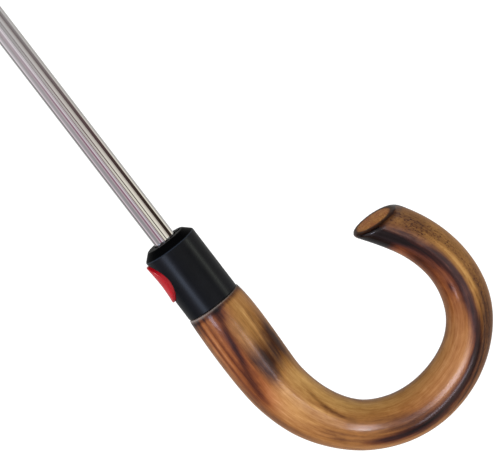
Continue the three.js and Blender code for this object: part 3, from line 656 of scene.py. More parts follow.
def make_crook():
    s, x, z, r, t = crook_line()
    nt = 96                                            # round the section
    th = np.arange(nt) / nt * 2 * math.pi
    normal = np.stack([-t[:, 1], t[:, 0]], 1)          # to the inner side of the bend

    def at(sv, thv):
        """Surface points for arrays of station and angle."""
        X, Z, R = (np.interp(sv, s, a) for a in (x, z, r))
        NX, NZ = np.interp(sv, s, normal[:, 0]), np.interp(sv, s, normal[:, 1])
        L = np.hypot(NX, NZ)
        wob = 0.10 * np.sin(sv / 9.1 + 1.3 * np.sin(thv) + 0.6) + 0.08 * np.sin(sv / 5.3 - 2 * thv + 2.0) + 0.06 * np.sin(3 * thv + sv / 14.0)
        R = R + 0.4 * wob * np.clip(sv / 6, 0, 1)
        R = R + 0.32 * np.exp(-0.5 * ((sv - 86) / 7.0) ** 2) * np.clip(-np.sin(thv), 0, 1)      # a slight swelling
        return np.stack([X + NX / L * R * np.cos(thv), R * np.sin(thv), Z + NZ / L * R * np.cos(thv)], -1), R
    # where each line along the surface meets the oblique end
    pn = np.array([0, -math.sin(END_TILT), math.cos(END_TILT)])
    p0 = np.array([74.0, 0, END_Z])
    probe = np.arange(170, s[-1], 0.1)
    end = np.empty(nt)
    for j, a in enumerate(th):
        pts, _ = at(probe, np.full(probe.shape, a))
        g = (pts - p0) @ pn
        k = int(np.argmax(g > 0)) if (g > 0).any() else len(g) - 1
        end[j] = probe[k]
    rim = 2.9
    stop = end - rim
    s0 = 150.0
    stations = np.linspace(0.9, s0, 230)
    rows, grain, S, P, endf, rimd = [], [], [], [], [], []
    angle = np.arctan2(np.cos(th), -np.sin(th))        # 0 faces -Y, +90 degrees is the inner side

    def add(points, sv, rho, e, dist):
        rows.append(points)
        R = np.interp(sv, s, r)
        grain.append(np.stack([rho * R * np.cos(th), rho * R * np.sin(th), sv], 1) / 10)
        S.append(sv * np.ones(nt))
        P.append(angle)
        endf.append(np.full(nt, e))
        rimd.append(np.full(nt, dist) if np.isscalar(dist) else dist)
    # socket and the rounded edge at the collar
    zero = np.zeros(nt)
    for rr, zz in [(6.05, -44.5), (6.05, -30), (6.05, -15), (6.05, -0.35), (6.3, -0.02)]:
        add(np.stack([rr * np.cos(th), rr * np.sin(th), np.full(nt, zz)], 1), zero - zz * 0.02, 0.4, 0.0, 99)
    top, R0 = at(zero + 0.9, th)
    edge = np.stack([12.75 * np.cos(th), 12.75 * np.sin(th), zero], 1)
    inside = np.stack([11.9 * np.cos(th), 11.9 * np.sin(th), zero], 1)
    add(inside * 0.75, zero, 0.7, 0.0, 99)
    for w in (0.0, 0.25, 0.5, 0.75):
        add((1 - w) ** 2 * inside + 2 * w * (1 - w) * edge + w * w * top, zero + 0.9 * w, 1.0, 0.0, 99)
    for sv in stations:
        pts, _ = at(np.full(nt, sv), th)
        add(pts, np.full(nt, sv), 1.0, 0.0, 99)
    for w in np.linspace(0, 1, 121)[1:]:
        sv = s0 + (stop - s0) * w
        pts, _ = at(sv, th)
        add(pts, sv, 1.0, 0.0, end - sv)
    corner, _ = at(end, th)
    last = rows[-1]
    centre = corner.mean(0)
    inward = centre - corner
    inward /= np.linalg.norm(inward, axis=1)[:, None]
    face = corner + inward * rim
    for w in np.linspace(0, 1, 9)[1:]:
        q = (1 - w) ** 2 * last + 2 * w * (1 - w) * corner + w * w * face
        add(q, stop + (end - stop) * min(1, 1.4 * w), 1 - 0.18 * w * w, max(0.0, (w - 0.55) / 0.45), rim * (1 - w) * 0.6)
    for w in (0.93, 0.85, 0.74, 0.6, 0.45, 0.3, 0.15):
        dome = (1 - w ** 2) * 0.25
        add(centre + (face - centre) * w + pn * dome, end, 0.82 * w, 1.0, -(1 - w) * 7.0)
    verts = np.concatenate(rows)
    n = len(rows)
    faces = grid_faces(n, nt, wrap_v=True)
    verts = np.vstack([verts, [0, 0, -44.5], centre + pn * 0.25])
    faces += [(j, (j + 1) % nt, n * nt) for j in range(nt)]
    faces += [((n - 1) * nt + j, (n - 1) * nt + (j + 1) % nt, n * nt + 1) for j in range(nt)]
    grain = np.vstack([np.concatenate(grain), [[0, 0, 0]], [[0, 0, end.mean() / 10]]])
    S = np.r_[np.concatenate(S), 0, end.mean()]
    P = np.r_[np.concatenate(P), 0, 0]
    endf = np.r_[np.concatenate(endf), 0, 1]
    rimd = np.r_[np.concatenate(rimd), 99, -7.0]
    # the back carries its own marks, fading into the front's at the silhouette
    front = np.clip(np.abs(P), 0, math.pi)
    back = 0.5 - 0.5 * np.cos(np.clip((front - 1.25) / 0.7, 0, 1) * math.pi)
    pf = np.where(np.abs(P) > math.pi / 2, np.sign(P) * (math.pi - np.abs(P)), P)
    a = wood_stain(S, P * 1.0)
    b = wood_stain(S * 0.97 + 9 * np.clip(S / 40, 0, 1), -0.9 * pf)
    tone, red, painted_violet_sheen, speck = (u * (1 - back) + v * back for u, v in zip(a, b))
    # burnt rim round the end
    tone = tone + 0.34 * np.exp(-np.clip(rimd, 0, 99) / 1.2) * (1 - 0.5 * endf)
    tone = np.where(endf > 0, tone * 0 + 0.36 + 0.55 * np.exp(np.minimum(rimd, 0) / 0.8), tone)
    # the lacquer lies thick on the rim, thin on the end grain and on the charred patch above the bend
    gloss = 1 + 1.6 * np.exp(-0.5 * ((rimd - 0.6) / 1.3) ** 2) * (1 - endf) - 0.65 * endf
    # along the crown of the front it is rubbed dull but for two places
    keep = np.maximum(np.exp(-0.5 * ((S - 86) / 4.5) ** 2), np.exp(-0.5 * ((S - 131) / 9.0) ** 2))
    keep = np.maximum(keep, (rimd < 2.4) * 1.0)
    gloss = gloss * (1 - 0.97 * np.exp(-0.5 * ((P + 0.02) / 0.20) ** 4) * (1 - keep))
    gloss = gloss * (1 - 0.85 * np.clip((S - 5) / 5, 0, 1) * (S < 48) * np.exp(-0.5 * ((P + 0.39) / 0.16) ** 2))
    gloss = gloss * (1 - 0.92 * np.exp(-0.5 * ((S - 104) / 26) ** 2 - 0.5 * ((P - 0.62) / 0.32) ** 2))
    gloss = gloss * (1 - 0.65 * (rimd > 3.0) * np.exp(-0.5 * ((S - 184) / 18) ** 2 - 0.5 * ((P - 0.28) / 0.32) ** 2))
    gloss = gloss * (1 - 0.60 * np.exp(-0.5 * ((S - 66) / 10) ** 2 - 0.5 * ((P - 0.62) / 0.30) ** 2))
    # painted highlight: where the pale line at the joint with the collar lies
    edge = np.exp(-0.5 * ((S - 0.30) / 0.22) ** 2)
    tone = tone + 0.30 * np.exp(-0.5 * ((S - 1.2) / 0.8) ** 2)
    ob = mesh_object("crook", verts, faces, 60, {
        "grain": grain, "tone": tone, "red": np.clip(red, 0, 1), "painted_violet_sheen": np.clip(painted_violet_sheen, 0, 1),
        "speck": np.clip(speck, 0, 1.2), "gloss": gloss, "edge": edge, "endface": np.clip(endf, 0, 1)})
    dress(ob, WOOD)
    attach(ob, "root")
    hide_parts("crook_handle")


make_crook()


# ------------------------------------------------------------------ shaft
def make_shaft_piece():
    nt = 144
    slot = 1.2
    a = np.arange(nt) / nt * 2 * math.pi
    z0, z1, s0, s1 = -44.0, 668.0, 45.0, 506.0
    # columns beside the slot on +Y sit on its edges
    half_o = math.asin(slot / 5.36)
    ka, kb = int(round((math.pi / 2 - half_o) / (2 * math.pi) * nt)), int(round((math.pi / 2 + half_o) / (2 * math.pi) * nt))
    outer_a, inner_a = a.copy(), a.copy()
    outer_a[ka], outer_a[kb] = math.pi / 2 - half_o, math.pi / 2 + half_o
    hi = math.asin(slot / SHAFT_BORE)
    inner_a = a.copy()
    lo_k, hi_k = inner_a[ka], inner_a[kb]
    inner_a[ka], inner_a[kb] = math.pi / 2 - hi, math.pi / 2 + hi
    # spread the neighbours so that no column folds over
    for q, (k, target) in enumerate(((ka, math.pi / 2 - hi), (kb, math.pi / 2 + hi))):
        step = -1 if q == 0 else 1
        start = a[(k + 8 * step) % nt]
        for w in range(1, 8):
            inner_a[(k + w * step) % nt] = target + (start - target) * w / 8
    mid = np.linspace(inner_a[ka], inner_a[kb], kb - ka + 1)
    inner_a[ka:kb + 1] = mid
    outer_a[ka:kb + 1] = np.linspace(outer_a[ka], outer_a[kb], kb - ka + 1)
    ro = fluted(outer_a)
    zs = [z0, z0 + 0.4, 0, s0, s1, z1 - 0.4, z1]
    zs = sorted(set(zs + list(np.linspace(s0, s1, 12)) + [20.0, 560.0, 620.0]))
    verts, groove = [], []
    for z in zs:
        cut = 0.25 if z in (z0, z1) else 0.0
        verts.append(np.stack([(ro - cut) * np.cos(outer_a), (ro - cut) * np.sin(outer_a), np.full(nt, z)], 1))
        groove.append(np.clip((0.5 + 0.5 * np.cos(FLUTES * outer_a)) ** 6, 0, 1))
    for z in zs:
        verts.append(np.stack([SHAFT_BORE * np.cos(inner_a), SHAFT_BORE * np.sin(inner_a), np.full(nt, z)], 1))
        groove.append(np.ones(nt) * 0.5)
    n = len(zs)
    i0, i1 = zs.index(s0), zs.index(s1)
    off = n * nt
    faces = []
    for i in range(n - 1):
        for j in range(nt):
            k = (j + 1) % nt
            if i0 <= i < i1 and ka <= j < kb:
                continue
            faces.append((i * nt + j, i * nt + k, (i + 1) * nt + k, (i + 1) * nt + j))
            faces.append((off + i * nt + j, off + (i + 1) * nt + j, off + (i + 1) * nt + k, off + i * nt + k))
    for j in range(nt):
        k = (j + 1) % nt
        faces.append((j, off + j, off + k, k))
        t = (n - 1) * nt
        faces.append((t + j, t + k, off + t + k, off + t + j))
    for i in range(i0, i1):
        for j in (ka, kb):
            faces.append((i * nt + j, (i + 1) * nt + j, off + (i + 1) * nt + j, off + i * nt + j))
    for i in (i0, i1):
        for j in range(ka, kb):
            faces.append((i * nt + j, i * nt + j + 1, off + i * nt + j + 1, off + i * nt + j))
    ob = mesh_object("fluted_shaft", np.concatenate(verts), faces, 50, {"groove": np.concatenate(groove)})
    dress(ob, SHAFT)
    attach(ob, "root")
    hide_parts("shaft_tube")


make_shaft_piece()


# ------------------------------------------------------------------ collar
BZ, BH, BW = 19.9, 9.45, 8.1


def make_collar_piece():
    nt = 160
    a = np.arange(nt) / nt * 2 * math.pi
    # outside rows, kept to a grid so that the window can be fitted in it
    outer = [(12.15, 0.3), (12.33, 0.38)] + [(12.4, z) for z in np.linspace(0.6, 30.5, 48)]
    outer += [(12.36, 30.72), (12.24, 30.93), (12.06, 31.16), (9.42, 33.66), (9.22, 33.84), (8.92, 33.97), (8.6, 34.0)]
    verts, index = [], []
    for r, z in outer:
        index.append(len(verts))
        verts += [(r * math.cos(t), r * math.sin(t), z) for t in a]
    n = len(outer)
    # window: columns round -X and rows between the collar's ends
    zw = [z for _, z in outer]
    r0 = next(i for i, (r, z) in enumerate(outer) if z > BZ - BH - 1.6)
    r1 = max(i for i, (r, z) in enumerate(outer[:52]) if z < BZ + BH + 1.0 and r > 12.39)
    jc = nt // 2
    wide = int(math.ceil(math.asin((BW + 1.3) / 12.4) / (2 * math.pi) * nt))
    j0, j1 = jc - wide, jc + wide
    faces = []
    for i in range(n - 1):
        for j in range(nt):
            if r0 <= i < r1 and j0 <= j < j1:
                continue
            k = (j + 1) % nt
            faces.append((i * nt + j, i * nt + k, (i + 1) * nt + k, (i + 1) * nt + j))
    # loop of the rectangle, then rings in to the oval
    loop = [(r0, j) for j in range(j0, j1)] + [(i, j1) for i in range(r0, r1)] + [(r1, j) for j in range(j1, j0, -1)] + [(i, j0) for i in range(r1, r0, -1)]
    ids = [i * nt + j for i, j in loop]
    hb, wb = BH + 0.35, BW + 0.35
    zc = BZ

    def on_surface(y, z, r):
        return (-math.sqrt(max(r * r - y * y, 0.01)), y, z)
    ring_ids = [ids]
    ovals = []
    for (i, j) in loop:
        y = 12.4 * math.sin(a[j])
        z = outer[i][1]
        ang = math.atan2((z - zc) / hb, y / wb)
        ovals.append((ang, y, z))
    fr = [0.35, 0.62, 0.82, 0.94]
    for w in fr:
        cur = []
        for ang, y, z in ovals:
            ye, ze = (wb + 0.30) * math.cos(ang), zc + (hb + 0.30) * math.sin(ang)
            yy, zz = y + (ye - y) * w / 0.94, z + (ze - z) * w / 0.94
            cur.append(len(verts))
            verts.append(on_surface(yy, zz, 12.4))
        ring_ids.append(cur)
    for da, dr in [(0.12, 0.05), (0.03, 0.15), (0.0, 0.32), (0.0, 1.0), (0.0, 2.0)]:
        cur = []
        for ang, y, z in ovals:
            cur.append(len(verts))
            verts.append(on_surface((wb + da) * math.cos(ang), zc + (hb + da) * math.sin(ang), 12.4 - dr))
        ring_ids.append(cur)
    m = len(loop)
    for A, B in zip(ring_ids, ring_ids[1:]):
        for q in range(m):
            p = (q + 1) % m
            faces.append((A[q], A[p], B[p], B[q]))
    # inner wall with the same window
    rin = 10.4
    inner_rows = [0.3] + [outer[i][1] for i in range(4, 50)] + []
    inner_rows = [z for z in inner_rows if z < 30.2] + [30.3]
    base_in = len(verts)
    for z in inner_rows:
        verts += [(rin * math.cos(t), rin * math.sin(t), z) for t in a]
    zi = np.array(inner_rows)
    ri0 = int(np.argmin(np.abs(zi - outer[r0][1])))
    ri1 = int(np.argmin(np.abs(zi - min(outer[r1][1], 30.3))))
    for i in range(len(inner_rows) - 1):
        for j in range(nt):
            if ri0 <= i < ri1 and j0 <= j < j1:
                continue
            k = (j + 1) % nt
            faces.append((base_in + i * nt + j, base_in + (i + 1) * nt + j, base_in + (i + 1) * nt + k, base_in + i * nt + k))
    loop_in = [(ri0, j) for j in range(j0, j1)] + [(ri0 + (i - r0), j1) for i in range(r0, r1)] + \
              [(ri1, j) for j in range(j1, j0, -1)] + [(ri0 + (i - r0), j0) for i in range(r1, r0, -1)]
    ids_in = [base_in + min(i, ri1) * nt + j for i, j in loop_in]
    last = ring_ids[-1]
    for q in range(m):
        p = (q + 1) % m
        faces.append((last[q], last[p], ids_in[p], ids_in[q]))
    # foot ring and the top face with its fluted hole
    for j in range(nt):
        k = (j + 1) % nt
        faces.append((j, base_in + j, base_in + k, k))
    top_rings = [[(n - 1) * nt + j for j in range(nt)]]
    rf = fluted(a, 0.35)
    tongue = 7.6
    notch = [j for j in range(nt) if abs((tongue * math.sin(a[j]))) <= 1.5 and math.cos(a[j]) > 0]
    rf2 = rf.copy()
    for j in notch:
        rf2[j] = max(rf[j], min(tongue, tongue / max(math.cos(a[j]), 0.2)))
    for rr, z in [(0.5, 34.0), (1.0, 33.98), (1.0, 33.75)]:
        cur = []
        for j in range(nt):
            r = (8.6 + (rf2[j] + 0.25 - 8.6) * 0.5) if rr < 1 else (rf2[j] + (0.2 if z > 33.9 else 0.0))
            cur.append(len(verts))
            verts.append((r * math.cos(a[j]), r * math.sin(a[j]), z))
        top_rings.append(cur)
    cur = []
    for j in range(nt):
        cur.append(len(verts))
        verts.append((rf2[j] * math.cos(a[j]), rf2[j] * math.sin(a[j]), 30.3))
    top_rings.append(cur)
    top_rings.append([base_in + (len(inner_rows) - 1) * nt + j for j in range(nt)])
    for A, B in zip(top_rings, top_rings[1:]):
        for j in range(nt):
            k = (j + 1) % nt
            faces.append((A[j], A[k], B[k], B[j]))
    used = {f for face in faces for f in face}
    order = sorted(used)
    remap = {o: i for i, o in enumerate(order)}
    verts = [verts[o] for o in order]
    faces = [tuple(dict.fromkeys(remap[f] for f in face)) for face in faces]
    faces = [f for f in faces if len(f) > 2]
    radius = np.array([math.hypot(v[0], v[1]) for v in verts])
    height = np.array([v[2] for v in verts])
    # painted highlight: the ring at the foot of the top chamfer that is coloured blue-grey
    painted_chamfer_highlight = np.where((radius > 12.0) & (height > 30.6) & (height < 31.0), 1.0, 0.0)
    # painted shade: marks the top face and the inner surfaces, which the collar's material darkens
    top = np.where((height > 31.0) | (radius < 12.0), 1.0, 0.0)
    ob = mesh_object("collar", verts, faces, 38, {"painted_chamfer_highlight": painted_chamfer_highlight, "top": top})
    dress(ob, COLLAR)
    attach(ob, "root")
    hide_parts("collar_housing")


make_collar_piece()


# ------------------------------------------------------------------ push button
def make_button():
    m = 96
    ang = np.arange(m) / m * 2 * math.pi
    verts, rings = [], []

    def x_out(y, z):
        dome = math.sqrt(max(13.5 ** 2 - y * y, 1))
        sad = 71.95 - math.sqrt(59.0 ** 2 - (z - (BZ - 0.6)) ** 2)
        k = 0.25                                 # soft edge between the dome and the finger hollow
        h = min(max(0.5 + 0.5 * (sad - dome) / k, 0), 1)
        return -(sad * (1 - h) + dome * h - k * h * (1 - h))
    for f in [0.0, 0.12, 0.25, 0.38, 0.5, 0.62, 0.73, 0.83, 0.905, 0.955]:
        cur = []
        if f == 0:
            verts.append((x_out(0, BZ), 0, BZ))
            rings.append([0])
            continue
        for t in ang:
            y, z = BW * f * math.cos(t), BZ + BH * f * math.sin(t)
            cur.append(len(verts))
            verts.append((x_out(y, z), y, z))
        rings.append(cur)
    for f, drop in [(0.982, 0.08), (0.994, 0.26), (1.0, 0.55), (1.0, 1.3)]:
        cur = []
        for t in ang:
            y, z = BW * f * math.cos(t), BZ + BH * f * math.sin(t)
            cur.append(len(verts))
            verts.append((min(x_out(y, z) + drop, -8.8), y, z))
        rings.append(cur)
    cur = []
    for t in ang:
        cur.append(len(verts))
        verts.append((-8.6, BW * math.cos(t), BZ + BH * math.sin(t)))
    rings.append(cur)
    faces = []
    for A, B in zip(rings, rings[1:]):
        for j in range(m):
            k = (j + 1) % m
            faces.append((A[0], B[j], B[k]) if len(A) == 1 else (A[j], A[k], B[k], B[j]))
    faces.append(tuple(reversed(rings[-1])))
    ob = mesh_object("button", verts, faces, 50)
    lip = block("lip", -9.7, -8.6, -3.5, 3.5, 7.6, 30.0)
    boolean(ob, [lip], "UNION")
    ob.data.shade_smooth()
    ob.data.set_sharp_from_angle(angle=math.radians(50))
    dress(ob, RED)
    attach(ob, "button")
    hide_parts("push_button")


make_button()


# ------------------------------------------------------------------ springs
def make_springs():
    sp = coil("mainspring", 2.75, -34.6, RUNNER_Z - 28.4, 62, 0.4, 14, 6, ends=2.0)
    dress(sp, WIRE)
    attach(sp, "root")
    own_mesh(sp)
    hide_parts("main_spring")
    lo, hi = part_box("button_spring")
    x0, x1 = lo.x / MM, hi.x / MM
    bs = coil("buttonspring", 1.5, 0.22, x1 - x0 - 0.22, 5, 0.2, 20, 8, axis="x", centre=(x0, 0, (lo.z + hi.z) / 2 / MM), ends=0.9)
    dress(bs, WIRE)
    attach(bs, "root")
    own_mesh(bs)
    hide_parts("button_spring")


make_springs()


# ------------------------------------------------------------------ runner, notch, cap, ferrule
def spokes(z0, z1, r0=7.4, slot=1.7):
    return [block(f"spoke{i}", r0, 20, -slot, slot, z0, z1, i * 2 * math.pi / RIBS) for i in range(RIBS)]


def make_runner():
    z, b = RUNNER_Z, RUNNER_Z - 35.4
    prof = fillet([(5.9, b, 0.3), (8.8, b, 0.5), (9.2, b + 2, 0.8), (8.2, b + 6, 2.5), (7.6, b + 14, 3.0), (7.6, z - 6.5, 1.2),
                   (11.5, z - 4.2, 0.5), (12.5, z - 3.4, 0.3), (12.5, z - 0.8, 0), (9.2, z - 0.8, 0), (9.2, z + 0.8, 0), (12.5, z + 0.8, 0),
                   (12.5, z + 2.4, 0.35), (7.2, z + 2.4, 0.2), (7.2, z + 4.2, 0.4), (5.9, z + 4.2, 0.2)], closed=True, n=3)
    ob = lathe("runner_body", prof, 72, closed=True)
    pin = lathe("pinhole", [(0, -3), (1.2, -3), (1.2, 3), (0, 3)], 16)
    pin.data.transform(Matrix.Rotation(math.pi / 2, 4, "X"))
    pin.data.transform(Matrix.Translation((0, 0.007, (z - 20) * MM)))
    boolean(ob, spokes(z - 2.8, z + 9) + [pin])
    travel = 2 * ARM * (math.cos(math.radians(1)) - math.cos(OPEN))
    at = lambda h: h + travel
    sh = [(5.15, at(18.4)), (5.8, at(18.4)), (7.1, at(20.9)), (7.1, at(21.7)), (5.75, at(21.7)), (5.75, b + 1), (6.6, b + 3), (6.6, b + 10), (5.15, b + 10)]
    v = [(x, y, h) for y in (-0.9, 0.9) for x, h in sh]
    m = len(sh)
    f = [tuple(range(m)), tuple(reversed(range(m, 2 * m)))] + [(i, m + i, m + (i + 1) % m, (i + 1) % m) for i in range(m)]
    tongue = mesh_object("tongue", v, f, sharp=0)
    boolean(ob, [tongue], "UNION")
    finish_cut(ob, 0.18, 35, 2)
    dress(ob, PLASTIC)
    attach(ob, "runner")
    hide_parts("runner")


def make_notch():
    z = NOTCH_Z
    prof = fillet([(5.8, z - 9, 0.2), (7.2, z - 9, 0.5), (7.2, z - 2.4, 0.3), (12.5, z - 2.4, 0.35), (12.5, z - 0.8, 0), (9.2, z - 0.8, 0),
                   (9.2, z + 0.8, 0), (12.5, z + 0.8, 0), (12.5, z + 3.2, 0.3), (11.7, z + 4, 0.3), (5.8, z + 4, 0.2)], closed=True, n=3)
    ob = lathe("notch_body", prof, 72, closed=True)
    boolean(ob, spokes(z - 12, z + 2.8))
    finish_cut(ob, 0.18, 35, 2)
    dress(ob, PLASTIC)
    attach(ob, "root")
    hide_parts("top_notch")


def make_top():
    z = NOTCH_Z
    prof = fillet([(5.8, z + 6.2, 0.1), (16.5, z + 5.6, 0.25), (16.5, z + 6.4, 0.35), (13.4, z + 6.95, 4.0), (9.6, z + 7.7, 1.2), (5.8, z + 7.7, 0.2)], closed=True, n=5)
    cap = lathe("cap_disc", prof, 96, closed=True)
    dress(cap, PLASTIC)
    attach(cap, "root")
    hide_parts("canopy_cap")
    prof = fillet([(0, 668.3), (5.8, 668.3, 0.1), (5.8, 658, 0.1), (8.6, 658, 0.3), (8.6, 661, 0.7), (7.9, 661.9, 0.5), (7.2, 664, 1.6), (6.6, 672, 6), (5.35, 702.8, 3), (5.35, 703.6, 0.3),
                   (5.0, 704.2, 0.2), (5.0, 706, 0.3), (0, 706)], n=4)
    fer = lathe("ferrule_sleeve", prof, 64)
    dress(fer, BRIGHT)
    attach(fer, "root")
    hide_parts("ferrule")
    prof = fillet([(0, 706.3), (4.6, 706.3, 0.3), (4.55, 709, 0.3), (4.35, 709.6, 0.2), (4.35, 710.4, 0.2), (4.52, 711, 0.3), (4.4, 716.8, 0.9), (3.4, 718, 0.6), (2.2, 718, 0.2), (2.0, 717.6, 0.2), (0, 717.6)], n=4)
    tip = lathe("ferrule_end", prof, 56)
    dress(tip, RUBBER)
    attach(tip, "root")
    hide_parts("ferrule_tip")


make_runner()
make_notch()
make_top()


# ------------------------------------------------------------------ canopy
TOP_ROWS = [(7.6, 655.5), (10.4, 655.45), (13.4, 655.35), (20.0, 653.9), (27.0, 652.0), (34.0, 650.3)]


def wrinkle(az, s):
    """Slack in the cloth, the same on both sides of every shared edge. az in radians, s in mm."""
    share = np.clip(s / (INNER + OUTER), 0, 1)
    w = (np.sin(3 * az + s / 61) * 0.5 + np.sin(11 * az - s / 37 + 1) * 0.35 + np.sin(26 * az + s / 83 + 2) * 0.4 + np.sin(5 * az + s / 23) * 0.12)
    q = np.sin(4 * az) ** 2                       # nothing over the ribs
    return w * q * (0.2 + 1.5 * share)


def cloth_points(i, s, lat, h):
    """Points for rib i: s along the rib, lat the signed share of the half gore, h above the rib line."""
    t = np.abs(lat)
    a = t * HALF
    r, z, f = rib(s)
    r, z = r + h * np.sin(f), z + h * np.cos(f)
    q = 1 - (1 - t) ** 2
    share = np.clip(s, 0, None) / (INNER + OUTER)
    dip = SAG * share ** 2.2 * q
    hem = SCALLOP * np.clip((share - 0.75) / 0.25, 0, None) ** 2 * q
    az = i * 2 * HALF + np.sign(lat) * a
    dip = dip - wrinkle(az, s)
    rr = r * math.cos(HALF) / np.cos(HALF - a) - dip * np.sin(f) - hem * np.cos(f)
    return np.stack([rr * np.cos(az), rr * np.sin(az), z - dip * np.cos(f) + hem * np.sin(f)], -1)


def panel(name, i, s0, s1, rows, cols, crown=False, lap=0.0, hemmed=False):
    """One shaped sheet of cloth between the middles of two gores, a closed shell 0.5 mm thick."""
    s_rows = np.linspace(s0, s1, rows)
    if hemmed:
        s_rows = np.r_[np.linspace(s0, s1 - 8.5, rows), s1 - 7.6, s1 - 4, s1 - 1.2, s1 - 0.5, s1]
    grids = []
    weave = []
    c = cols // 2
    for layer in (0, 1):
        g, wv = [], []
        if crown:
            for r, z in TOP_ROWS:
                u = np.concatenate([-np.linspace(1, 0, c + 1), np.linspace(0, 1, c + 1)[1:]])
                az = i * 2 * HALF + u * HALF
                rr = r * math.cos(HALF) / np.cos(HALF * (1 - np.abs(u)))
                z_ = z - (0.0 if layer else 0.45)
                g.append(np.stack([rr * np.cos(az), rr * np.sin(az), np.full(u.shape, z_)], 1))
                wv.append(np.stack([u * r * math.tan(HALF), np.full(u.shape, r), np.full(u.shape, 300.0)], 1))
        for k, s in enumerate(s_rows):
            if crown and s < 30:
                continue
            r = float(rib(s)[0])
            half_w = r * math.tan(HALF)
            # columns: the seam over the rib is a raised band 6 mm wide
            fixed = np.array([0, 1.5, 2.9, 3.5]) / half_w
            rest = np.linspace(0, 1, c + 1)
            cols_t = np.maximum(rest, 0)
            for q, x in enumerate(fixed):
                cols_t[q] = min(x, rest[q] * 1.0) if half_w * rest[q] < x * half_w else x
            if cols_t[3] < cols_t[4]:
                cols_t[4:] = np.linspace(cols_t[3], 1, c + 1 - 3)[1:]
            u = np.concatenate([-cols_t[::-1], cols_t[1:]])
            lift = np.where(np.abs(u) * half_w < 3.0, 0.45, 0.0)
            edge = 0.0
            if hemmed:
                d = s1 - s
                edge = 0.55 if d < 8.0 else 0.0
            start = (s - s0) < lap * 0.99 if lap else False
            h = 1.95 + (0.5 if layer else 0.0) * 1.0 + (lift + edge if layer else 0.0)
            h = h + (0.32 if (lap < 0 and s > s1 + lap - 0.01) else 0.0)
            if hemmed and s1 - s < 0.3:
                h = h + (-0.28 if layer else 0.22)
            g.append(cloth_points(i, np.full(u.shape, s), u, h))
            wv.append(np.stack([u * half_w, np.full(u.shape, s), np.full(u.shape, (INNER + OUTER - 6) - s)], 1))
        grids.append(np.array(g))
        weave.append(np.array(wv))
    under, top = grids
    nr, nc = top.shape[:2]
    verts = np.concatenate([top.reshape(-1, 3), under.reshape(-1, 3)])
    off = nr * nc
    faces = grid_faces(nr, nc) + [tuple(reversed(f)) for f in grid_faces(nr, nc, base=off)]
    for j in range(nc - 1):
        faces.append((j, off + j, off + j + 1, j + 1))
        a = (nr - 1) * nc
        faces.append((a + j, a + j + 1, off + a + j + 1, off + a + j))
    for r_ in range(nr - 1):
        a = r_ * nc
        faces.append((a, a + nc, off + a + nc, off + a))
        b = a + nc - 1
        faces.append((b, off + b, off + b + nc, b + nc))
    ob = mesh_object(name, verts, faces, 50, {"weave": np.concatenate([w.reshape(-1, 3) for w in weave])})
    # flat area of the cut, returned with the sheet's width and length
    d1 = top[1:, :-1] - top[:-1, :-1]
    d2 = top[:-1, 1:] - top[:-1, :-1]
    area = float(np.linalg.norm(np.cross(d1, d2), axis=2).sum()) * 1e-6
    width = float(np.max(np.linalg.norm(np.diff(top, axis=1), axis=2).sum(1))) * MM
    length = float(np.max(np.linalg.norm(np.diff(top, axis=0), axis=2).sum(0))) * MM
    dress(ob, CLOTH)
    return ob, width, length, min(area, width * length)


SPLIT = 74.0
for i in range(RIBS):
    n = i + 1
    for kind, s0, s1, rows, cols, body, keep in (
            ("crown", 0.0, SPLIT, 10, 12, f"rib_inner_{n}", 0.20),
            ("gore", SPLIT - 2.5, INNER, 22, 20, f"rib_inner_{n}", 0.075),
            ("skirt", INNER - 2.5, INNER + OUTER - 6, 26, 26, f"rib_outer_{n}", 0.066)):
        ob, w, l, area = panel(f"canopy_{kind}_{n}", i, s0, s1, rows, cols, crown=kind == "crown",
                               lap=-2.5 if kind != "skirt" else 0.0, hemmed=kind == "skirt")
        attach(ob, body)
        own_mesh(ob)
        if kind == "gore":
            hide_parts(f"canopy_{n}")


